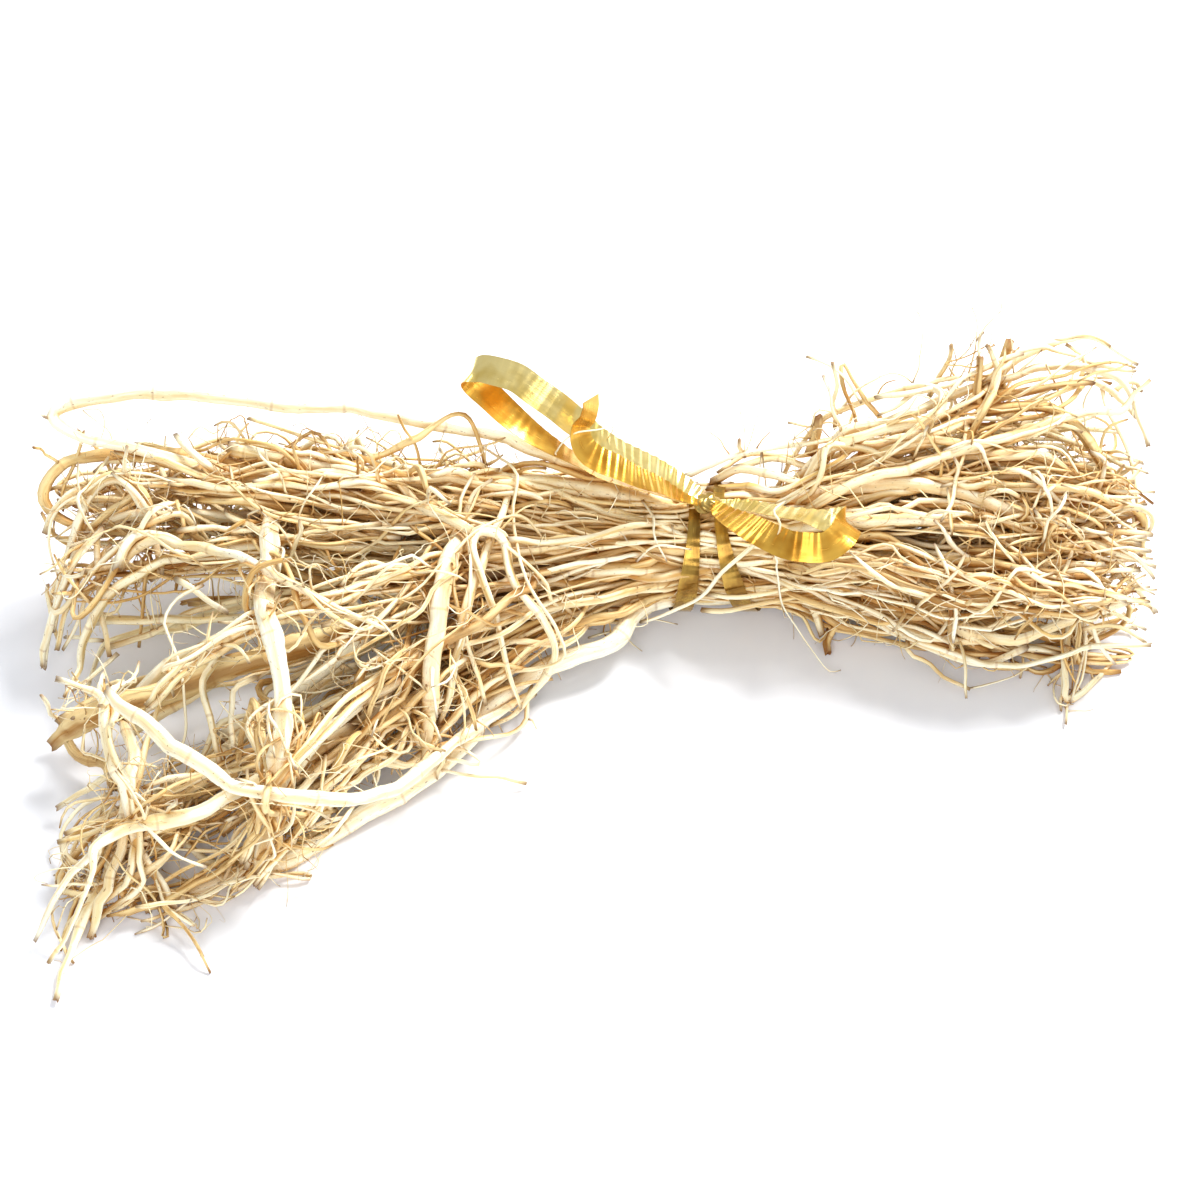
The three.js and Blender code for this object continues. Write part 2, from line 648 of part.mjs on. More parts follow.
const RIBBON = {
  ribbon_turn_left: () => ribbonTurn({ top: 15.6, bottom: 13 }),
  ribbon_turn_right: () => ribbonTurn({ top: 19.6, bottom: 26 }),
  ribbon_knot: () => ribbonKnot().translate(...KNOT_CENTRE.toArray()),
  ribbon_left_loop: () => ribbonStrip(
    [[14.5, 3, 25.5], [11, 3.5, 28], [7.5, 4, 30.5], [3.5, 4.5, 33], [-0.5, 4.5, 36], [-4, 5, 39],
     [-7, 6, 41.5], [-10.5, 7.5, 43.5], [-13.5, 9.5, 44.5], [-17, 11, 44.5], [-19.5, 12.5, 43.5],
     [-21, 13, 42], [-20.5, 13, 40], [-18, 12, 37.5], [-15, 10, 35.5], [-12, 8.5, 33.5],
     [-9, 7.5, 31.5], [-5.5, 6.5, 29.5], [-2.5, 5.5, 28], [1.5, 4, 26.5], [8, 3.5, 24.5],
     [14, 2.5, 23]],
    [[0.3, 0.95, 0.1], [0.3, 0.95, -0.2], [0.25, 0.9, -0.3], [0.2, 0.9, -0.35], [0.35, 0.95, -0.1],
     [0.6, 0.7, 0.35], [0.65, 0.6, 0.5], [0.6, 0.6, 0.5], [0.55, 0.65, 0.55], [0.5, 0.65, 0.55],
     [0.5, 0.65, 0.55], [0.55, 0.65, 0.55], [0.55, 0.65, 0.55], [0.55, 0.75, 0.3], [0.55, 0.8, 0.2],
     [0.4, 0.9, 0], [0.3, 0.95, -0.2], [0.2, 0.9, -0.4], [0.1, 0.85, -0.5], [0.1, 0.85, -0.55],
     [0.05, 0.85, -0.5], [0.1, 0.95, -0.35]]),
  ribbon_tail: () => ribbonStrip(
    [[14, 0.5, 25.5], [12, -0.5, 28], [9.5, -1.5, 31], [6, -2.5, 34], [2.5, -2.5, 36.5], [0, -2.5, 38],
     [-2, -2, 39.5], [-3, -1, 41], [-3, 0.5, 42.5], [-2, 1.5, 43.5], [-1.5, 3, 44.5], [-1.5, 4.5, 45]],
    [[0.25, 0.95, 0.25], [0.2, 1, -0.05], [0.15, 1, -0.15], [0.2, 1, -0.1], [0.25, 0.95, 0.05],
     [0.3, 0.95, 0.1], [0.5, 0.85, 0.05], [0.7, 0.65, -0.3], [0.6, 0.5, -0.6], [0.5, 0.5, -0.7],
     [0.5, 0.55, -0.7], [0.5, 0.55, -0.65]], true),
  ribbon_right_loop: () => ribbonStrip(
    [[18, -1.5, 25.5], [20.5, -4, 26.5], [23.5, -7.5, 28], [26.5, -11, 29.5], [30, -14, 30.5],
     [33, -15, 31], [36, -15, 31], [38, -13.5, 31], [39.5, -11, 30.5], [40, -8.5, 29.5],
     [39, -7, 28.5], [36.5, -6, 27.5], [33, -4.5, 27], [29.5, -3.5, 26.5], [25.5, -1.5, 25.5],
     [22, 0, 24.5]],
    [[0.45, 0.9, 0.15], [0.35, 0.95, -0.1], [0.4, 0.95, 0], [0.4, 0.85, 0.3], [0.25, 0.75, 0.6],
     [0.05, 0.75, 0.65], [-0.15, 0.75, 0.65], [-0.35, 0.85, 0.4], [-0.5, 0.85, 0.1],
     [-0.5, 0.85, -0.05], [-0.4, 0.95, 0], [-0.1, 1, -0.1], [0, 0.9, -0.4], [0, 0.9, -0.45],
     [0.05, 0.95, -0.35], [0.15, 1, -0.05]]),
};

// The roots keep clear of the ribbon: its loops, tail and knot stand in the settling as fixed rods.
function fixedRods(geometry, root) {
  const corners = geometry.attributes.position;
  const count = Math.floor((corners.count - 2) / 4);
  const at = (index) => new THREE.Vector3().fromBufferAttribute(corners, index);
  return [0, 0.33, 0.67, 1].map((across) => {
    const points = Array.from({ length: count }, (_, k) => at(4 * k).lerp(at(4 * k + 1), across));
    return { root, points, radii: points.map(() => RIBBON_THICKNESS), anchor: null, mobility: 0 };
  });
}

function knotRod(root) {
  const ends = [-1, 1].map((side) => KNOT_CENTRE.clone().add(new THREE.Vector3(side, 0, 0)));
  return { root, points: ends, radii: [1.9, 1.9], anchor: null, mobility: 0 };
}

// ---- materials ----

// A root without a finish of its own takes the four in turn.
const ROOT_COLOURS = { straw: '#ecd7a2', tan: '#e2c184', cream: '#f3e4bb', brown: '#d6ae6c' };
const FINISHES = Object.keys(ROOT_COLOURS);
const rootMaterials = FINISHES.map((finish) => (
  new THREE.MeshStandardMaterial({ color: ROOT_COLOURS[finish], roughness: 0.75, metalness: 0 })));
const RIBBON_FINISH = { color: '#d9a92f', roughness: 0.28, metalness: 0.85 };
const ribbonMaterial = new THREE.MeshStandardMaterial(RIBBON_FINISH);

function addPiece(bunch, name, geometry, material) {
  const mesh = new THREE.Mesh(geometry, material);
  mesh.name = name;
  bunch.add(mesh);
}

// ---- the bunch ----

function buildBunch() {
  const bunch = new THREE.Group();
  const names = OUTER_ROOTS.map((spec) => spec.name);
  const strands = OUTER_ROOTS.flatMap((spec, i) => outerRootStrands(spec, i));
  for (let n = 0; n < INNER_ROOTS; n += 1) {
    strands.push(innerRootStrand(names.length, n));
    names.push(`inner_root_${String(n + 1).padStart(2, '0')}`);
  }
  const mains = strands.filter((strand) => !strand.anchor);
  for (const main of mains.slice(0, OUTER_ROOTS.length)) {
    strands.push(rootletStrand(main), rootletStrand(main));
  }

  const ribbons = Object.entries(RIBBON).map(([name, make]) => ({ name, geometry: make() }));
  const bow = ribbons.filter(({ name }) => name.endsWith('loop') || name.endsWith('tail'));
  const rods = [...bow.flatMap(({ geometry }) => fixedRods(geometry, 'ribbon')), knotRod('ribbon')];
  settle([...strands, ...rods]);

  names.forEach((name, root) => {
    const own = strands.filter((strand) => strand.root === root);
    const finish = OUTER_ROOTS[root]?.finish ?? FINISHES[root % FINISHES.length];
    addPiece(bunch, name, rootGeometry(own), rootMaterials[FINISHES.indexOf(finish)]);
  });
  ribbons.forEach(({ name, geometry }) => addPiece(bunch, name, geometry, ribbonMaterial));
  return bunch;
}

// The bunch is centred on the table: its box's bottom centre is the origin.
function centred(bunch) {
  const box = new THREE.Box3().setFromObject(bunch);
  const centre = box.getCenter(new THREE.Vector3());
  bunch.position.set(-centre.x, -centre.y, -box.min.z);
  return bunch;
}

export default centred(buildBunch());
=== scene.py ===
"""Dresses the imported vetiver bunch.

The CAD roots are rebuilt along their own centre lines as knotty, grooved roots. Finer roots grow
through the bunch beside them, hair-thin rootlets leave both, and the ribbon gets its crimps and
its foil. Lengths are in millimetres until a mesh is made, and every place comes from the frame.
"""

import json
import math
from collections import namedtuple
from heapq import heappop, heappush

import bpy
import numpy as np
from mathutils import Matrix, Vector
from mathutils.kdtree import KDTree


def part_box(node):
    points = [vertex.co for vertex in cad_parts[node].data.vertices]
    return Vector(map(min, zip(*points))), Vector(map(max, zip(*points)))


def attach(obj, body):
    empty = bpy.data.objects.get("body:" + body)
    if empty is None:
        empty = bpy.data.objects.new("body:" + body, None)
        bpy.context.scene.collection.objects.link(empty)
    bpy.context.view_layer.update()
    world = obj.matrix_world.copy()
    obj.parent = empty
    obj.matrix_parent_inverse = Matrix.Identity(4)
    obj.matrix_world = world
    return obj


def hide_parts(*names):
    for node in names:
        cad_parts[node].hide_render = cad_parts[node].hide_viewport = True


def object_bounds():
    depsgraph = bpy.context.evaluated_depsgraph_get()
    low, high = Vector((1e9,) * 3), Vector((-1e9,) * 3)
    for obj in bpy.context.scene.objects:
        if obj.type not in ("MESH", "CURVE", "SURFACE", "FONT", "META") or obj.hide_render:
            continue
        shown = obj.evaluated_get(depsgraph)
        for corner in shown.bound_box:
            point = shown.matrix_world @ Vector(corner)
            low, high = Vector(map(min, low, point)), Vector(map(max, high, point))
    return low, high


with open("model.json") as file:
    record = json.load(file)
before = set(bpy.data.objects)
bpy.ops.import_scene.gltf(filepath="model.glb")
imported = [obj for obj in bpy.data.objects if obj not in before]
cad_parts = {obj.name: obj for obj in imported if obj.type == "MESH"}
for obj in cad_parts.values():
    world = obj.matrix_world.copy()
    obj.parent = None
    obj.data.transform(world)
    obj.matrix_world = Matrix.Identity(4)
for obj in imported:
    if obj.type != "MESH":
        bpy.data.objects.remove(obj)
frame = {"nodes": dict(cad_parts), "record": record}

MM = 0.001
cad_low, cad_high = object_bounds()
random = np.random.default_rng(1907)

# ---- driving dimensions, in millimetres ----

RIBBON_NODES = ["ribbon_turn_left", "ribbon_turn_right", "ribbon_knot", "ribbon_left_loop",
                "ribbon_right_loop", "ribbon_tail"]
ROOT_NODES = sorted(name for name in frame["nodes"] if name not in RIBBON_NODES)
BUNDLED_ROOTS = ["front_flow_root", "front_flow_twin_root", "low_flow_root", "low_flow_twin_root",
                 "upper_fan_root", "hem_root", "hem_twin_root", "fall_root", "low_ray_root",
                 "middle_ray_root", "back_ray_root", "rim_twin_root"]

THROUGH_ROOTS = 110              # finer roots that pass through the tie
LOBE_ROOTS = 210                 # finer roots that start and end within a lobe
TANGLE_ROOTS = 220               # short crooked ones, near the free ends
TWIGS = 480                      # thin crooked ones that stand out from the lobes every way
ROOTLETS = 1900
SPURS = 1500                     # side hairs on the rootlets
FINE_PIECES = 12                 # the finer roots are kept in this many pieces
FREE_ENDS = 38                   # mm from the tie to where the free ends start
EDGE = 0.8                       # mm that the finer roots keep from the sides of the bunch's box

# Painted shade: roots deep within the bunch have their colour darkened towards brown, for the shade there.
SHADE_REACH = 8                  # how many cells between a point and the open air may deepen its painted shade
SHADE_FROM, SHADE_TO = 0.3, 1.8  # mm of root over a point where its painted shade starts and ends to deepen its colour
OPEN_WAYS = [np.array([0, math.sin(math.radians(a)), math.cos(math.radians(a))])
             for a in range(-90, 91, 30)]

KNOT_FROM_VIEW = np.array([17.6, 1.0, 23.6])   # the knot, from the point that the camera looks at
CAMERA_ELEVATION = 50.0
CAMERA_DISTANCE = 620.0
CAMERA_LENS = 110.0
CAMERA_SENSOR = 36.0


def node_box(name):
    low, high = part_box(name)
    return np.array(low) / MM, np.array(high) / MM


BOX = np.array(cad_low) / MM, np.array(cad_high) / MM
TURN = node_box("ribbon_turn_left")
TIE = {
    "x": TURN[0][0] / 2 + node_box("ribbon_turn_right")[1][0] / 2,
    "y": (TURN[0][1] + TURN[1][1]) / 2,
    "z": (TURN[0][2] + TURN[1][2]) / 2,
    "radius": (TURN[1][1] - TURN[0][1]) / 2 - 0.9,
    "reach": 11.0,
}


# ---- centre lines, read back from the CAD solids ----

def merged_mesh(name):
    """The node's corners and edges, with corners at one place joined."""
    mesh = frame["nodes"][name].data
    places = np.empty(len(mesh.vertices) * 3, np.float32)
    mesh.vertices.foreach_get("co", places)
    corners, where = np.unique(np.round(places.reshape(-1, 3) / MM, 3), axis=0, return_inverse=True)
    edges = np.empty(len(mesh.edges) * 2, np.int32)
    mesh.edges.foreach_get("vertices", edges)
    edges = np.unique(np.sort(where.reshape(-1)[edges.reshape(-1, 2)], axis=1), axis=0)
    return corners.astype(float), edges[edges[:, 0] != edges[:, 1]]


def dotted(corners, edges, spacing=1.1):
    """Points along every edge, and the links between neighbouring points."""
    points = list(corners)
    links = [[] for _ in points]

    def link(a, b):
        reach = float(np.linalg.norm(points[a] - points[b]))
        links[a].append((b, reach))
        links[b].append((a, reach))

    for start, end in edges:
        parts = max(1, int(np.linalg.norm(corners[end] - corners[start]) / spacing))
        before = start
        for k in range(1, parts):
            points.append(corners[start] + (corners[end] - corners[start]) * k / parts)
            links.append([])
            link(before, len(points) - 1)
            before = len(points) - 1
        link(before, end)
    return np.array(points), links


def distances_from(source, links):
    reach = [math.inf] * len(links)
    reach[source] = 0.0
    queue = [(0.0, source)]
    while queue:
        so_far, at = heappop(queue)
        if so_far > reach[at]:
            continue
        for other, step in links[at]:
            if so_far + step < reach[other]:
                reach[other] = so_far + step
                heappush(queue, (reach[other], other))
    return np.array(reach)


def clumps(points, members, gap=2.0):
    """Groups of the member points whose neighbours lie closer than gap."""
    left = set(members)
    found = []
    while left:
        group = [left.pop()]
        for at in group:
            near = [i for i in left if np.abs(points[i] - points[at]).sum() < 2 * gap
                    and np.linalg.norm(points[i] - points[at]) < gap]
            left.difference_update(near)
            group.extend(near)
        found.append(group)
    return found


def centre_lines(name, slice_length=2.6):
    """The root's main line and its branches, each as (points, radius at each point)."""
    corners, edges = merged_mesh(name)
    points, links = dotted(corners, edges)
    tip = int(np.argmax(distances_from(0, links)))
    reach = distances_from(tip, links)
    slices = (reach / slice_length).astype(int)
    knots, knot_of = [], np.full(len(points), -1)
    for level in range(slices.max() + 1):
        for group in clumps(points, np.nonzero(slices == level)[0].tolist()):
            knot_of[group] = len(knots)
            knots.append({"level": level, "at": points[group].mean(0), "group": group})
    for knot in knots:
        before = {knot_of[other] for at in knot["group"] for other, _ in links[at]
                  if slices[other] == knot["level"] - 1}
        near = sorted(before, key=lambda k: np.linalg.norm(knots[k]["at"] - knot["at"]))
        knot["before"] = near[0] if near else None
    followed = {knot["before"] for knot in knots}
    ends = sorted((k for k in range(len(knots)) if k not in followed), key=lambda k: -knots[k]["level"])
    lines, used = [], set()
    for end in ends:
        chain, at = [], end
        while at is not None and at not in used:
            chain.append(at)
            at = knots[at]["before"]
        used.update(chain)
        own = len(chain)
        if at is not None:
            chain.append(at)
        if len(chain) < 4:
            continue
        path = np.array([knots[k]["at"] for k in chain[::-1]])
        ways = directions(path)[::-1]
        widths = []
        for k, way in zip(chain[:own], ways):
            apart = points[knots[k]["group"]] - knots[k]["at"]
            widths.append(np.linalg.norm(apart - np.outer(apart @ way, way), axis=1).mean())
        widths += widths[-1:] * (len(chain) - own)
        if not lines:
            path[0] = points[tip]
            path[-1] = points[int(np.argmax(reach))]
        lines.append((path, np.array(widths[::-1])))
    return lines


# ---- curves ----

def smooth(values, rounds):
    values = values.copy()
    for _ in range(rounds):
        values[1:-1] = values[1:-1] / 2 + (values[:-2] + values[2:]) / 4
    return values


def resample(path, step):
    """The path as a smooth curve, cut at an even step. Returns the points and their fractions."""
    ends = np.vstack([2 * path[0] - path[1], path, 2 * path[-1] - path[-2]])
    t = np.linspace(0, 1, 7)[:-1, None]
    a, b, c, d = (ends[k:len(ends) - 3 + k, None, :] for k in range(4))
    fine = 0.5 * (2 * b + (c - a) * t + (2 * a - 5 * b + 4 * c - d) * t**2 + (3 * b - a - 3 * c + d) * t**3)
    fine = np.vstack([fine.reshape(-1, 3), path[-1:]])
    along = distances_along(fine)
    count = max(4, int(round(along[-1] / step)) + 1)
    wanted = np.linspace(0, along[-1], count)
    cut = np.stack([np.interp(wanted, along, fine[:, k]) for k in range(3)], 1)
    return cut, np.interp(wanted, along, np.linspace(0, 1, len(fine)))


def directions(points):
    ahead = np.gradient(points, axis=0)
    return ahead / np.maximum(np.linalg.norm(ahead, axis=1, keepdims=True), 1e-9)


def length_of(points):
    return float(np.linalg.norm(np.diff(points, axis=0), axis=1).sum())


def distances_along(points):
    return np.concatenate([[0], np.cumsum(np.linalg.norm(np.diff(points, axis=0), axis=1))])


def eased(part):
    return part * part * (3 - 2 * part)


def wander(count, spacing, wave, size):
    """Smooth random offsets in three directions for points at that spacing."""
    stops = max(4, int(count * spacing / wave) + 3)
    raw = random.normal(0, size, (stops, 3))
    at = np.linspace(0, stops - 1.001, count)
    k = at.astype(int)
    part = eased((at - k)[:, None])
    return raw[k] * (1 - part) + raw[k + 1] * part


def zigzag(count, spacing, run, size):
    """Offsets that change straight from one random value to the next: sharp bends, as roots have."""
    stops = [0.0]
    while stops[-1] < count * spacing:
        stops.append(stops[-1] + run * random.uniform(0.5, 1.6))
    values = random.normal(0, size, (len(stops), 3))
    at = np.arange(count) * spacing
    return np.stack([np.interp(at, stops, values[:, k]) for k in range(3)], 1)


# ---- strands ----

STEP = {"thick": 1.1, "branch": 1.2, "part": 1.4, "fine": 1.6, "rootlet": 0.9}
SIDES = {"thick": 12, "branch": 8, "part": 8, "fine": 6, "rootlet": 3}
CROOK = {"whole": 0.28, "part": 0.33, "fine": 0.38}   # about how far, in mm, a root bends off its line
PART_SHARE = {2: 0.53, 3: 0.44, 4: 0.38}              # a part's radius, of the room that the parts share
BLUNT_END = 0.62                                      # a thick root's end, of its radius further in
THINNEST = 0.26


class Strand:
    """One root or rootlet: its line, its radius along it, and how it looks."""

    def __init__(self, points, radii, kind):
        self.points = points
        self.radii = radii
        self.kind = kind
        self.tone = random.random()
        # How much painted shade darkens the strand's colour at each point; shade_strands sets it.
        self.painted_shade = np.zeros(len(points))
        self.hairs = []

    def reach(self):
        return length_of(self.points)


def crooked(points, spacing, size):
    """Adds small sharp bends, and some slower ones, that fade out at both ends."""
    count = len(points)
    fade = np.minimum(1, np.minimum(np.arange(count), np.arange(count)[::-1]) * spacing / 4)[:, None]
    return points + fade * (zigzag(count, spacing, 4.5, size) + wander(count, spacing, 12, size * 0.7))


def whole_strand(line, kind):
    path, widths = line
    points, part = resample(smooth(path, 1), STEP[kind])
    radii = np.interp(part, np.linspace(0, 1, len(widths)), smooth(widths, 2))
    radii *= 1.05 if kind == "thick" else 0.8
    if kind == "thick" and len(radii) > 16:
        radii[:5] = np.maximum(radii[:5], radii[6] * BLUNT_END)
        radii[-5:] = np.maximum(radii[-5:], radii[-7] * BLUNT_END)
    radii = np.maximum(radii, THINNEST)
    radii *= 1 + 0.10 * wander(len(points), STEP[kind], 8, 1)[:, 0].clip(-1.5, 1.5)
    return Strand(crooked(points, STEP[kind], CROOK["whole"]), radii, kind)


def parted_strands(line):
    """Two to four thinner roots that fill the room of one thick one, turning round each other."""
    path, widths = line
    points, part = resample(smooth(path, 1), STEP["part"])
    room = np.maximum(np.interp(part, np.linspace(0, 1, len(widths)), smooth(widths, 2)), 0.45) * 1.05
    _, across, beside = carried_frames(points)
    count = 2 if room.mean() < 1.0 else 3 if room.mean() < 1.5 else 4
    turn = random.uniform(0, 7) + np.linspace(0, random.uniform(-5, 5), len(points))
    made = []
    for k in range(count):
        radii = room * PART_SHARE[count] * random.uniform(0.75, 1.12)
        angle = turn + 2 * math.pi * k / count + 0.4 * wander(len(points), STEP["part"], 14, 1)[:, 0]
        off = (room - radii * 0.9)[:, None]
        line = points + off * (np.cos(angle)[:, None] * across + np.sin(angle)[:, None] * beside)
        first, last = random.integers(0, 5, 2)
        cut = slice(first, len(points) - last)
        if len(points) - first - last > 6:
            made.append(Strand(crooked(line[cut], STEP["part"], CROOK["part"]), radii[cut], "part"))
    return made


def cad_strands():
    strands = {}
    for name in ROOT_NODES:
        lines = centre_lines(name)
        if name in BUNDLED_ROOTS or name.startswith("inner_root"):
            strands[name] = parted_strands(lines[0])
        else:
            strands[name] = [whole_strand(lines[0], "thick")]
        strands[name] += [whole_strand(line, "branch") for line in lines[1:]]
    return strands


# ---- roots placed one by one: radius, finish, and route from the view point ----

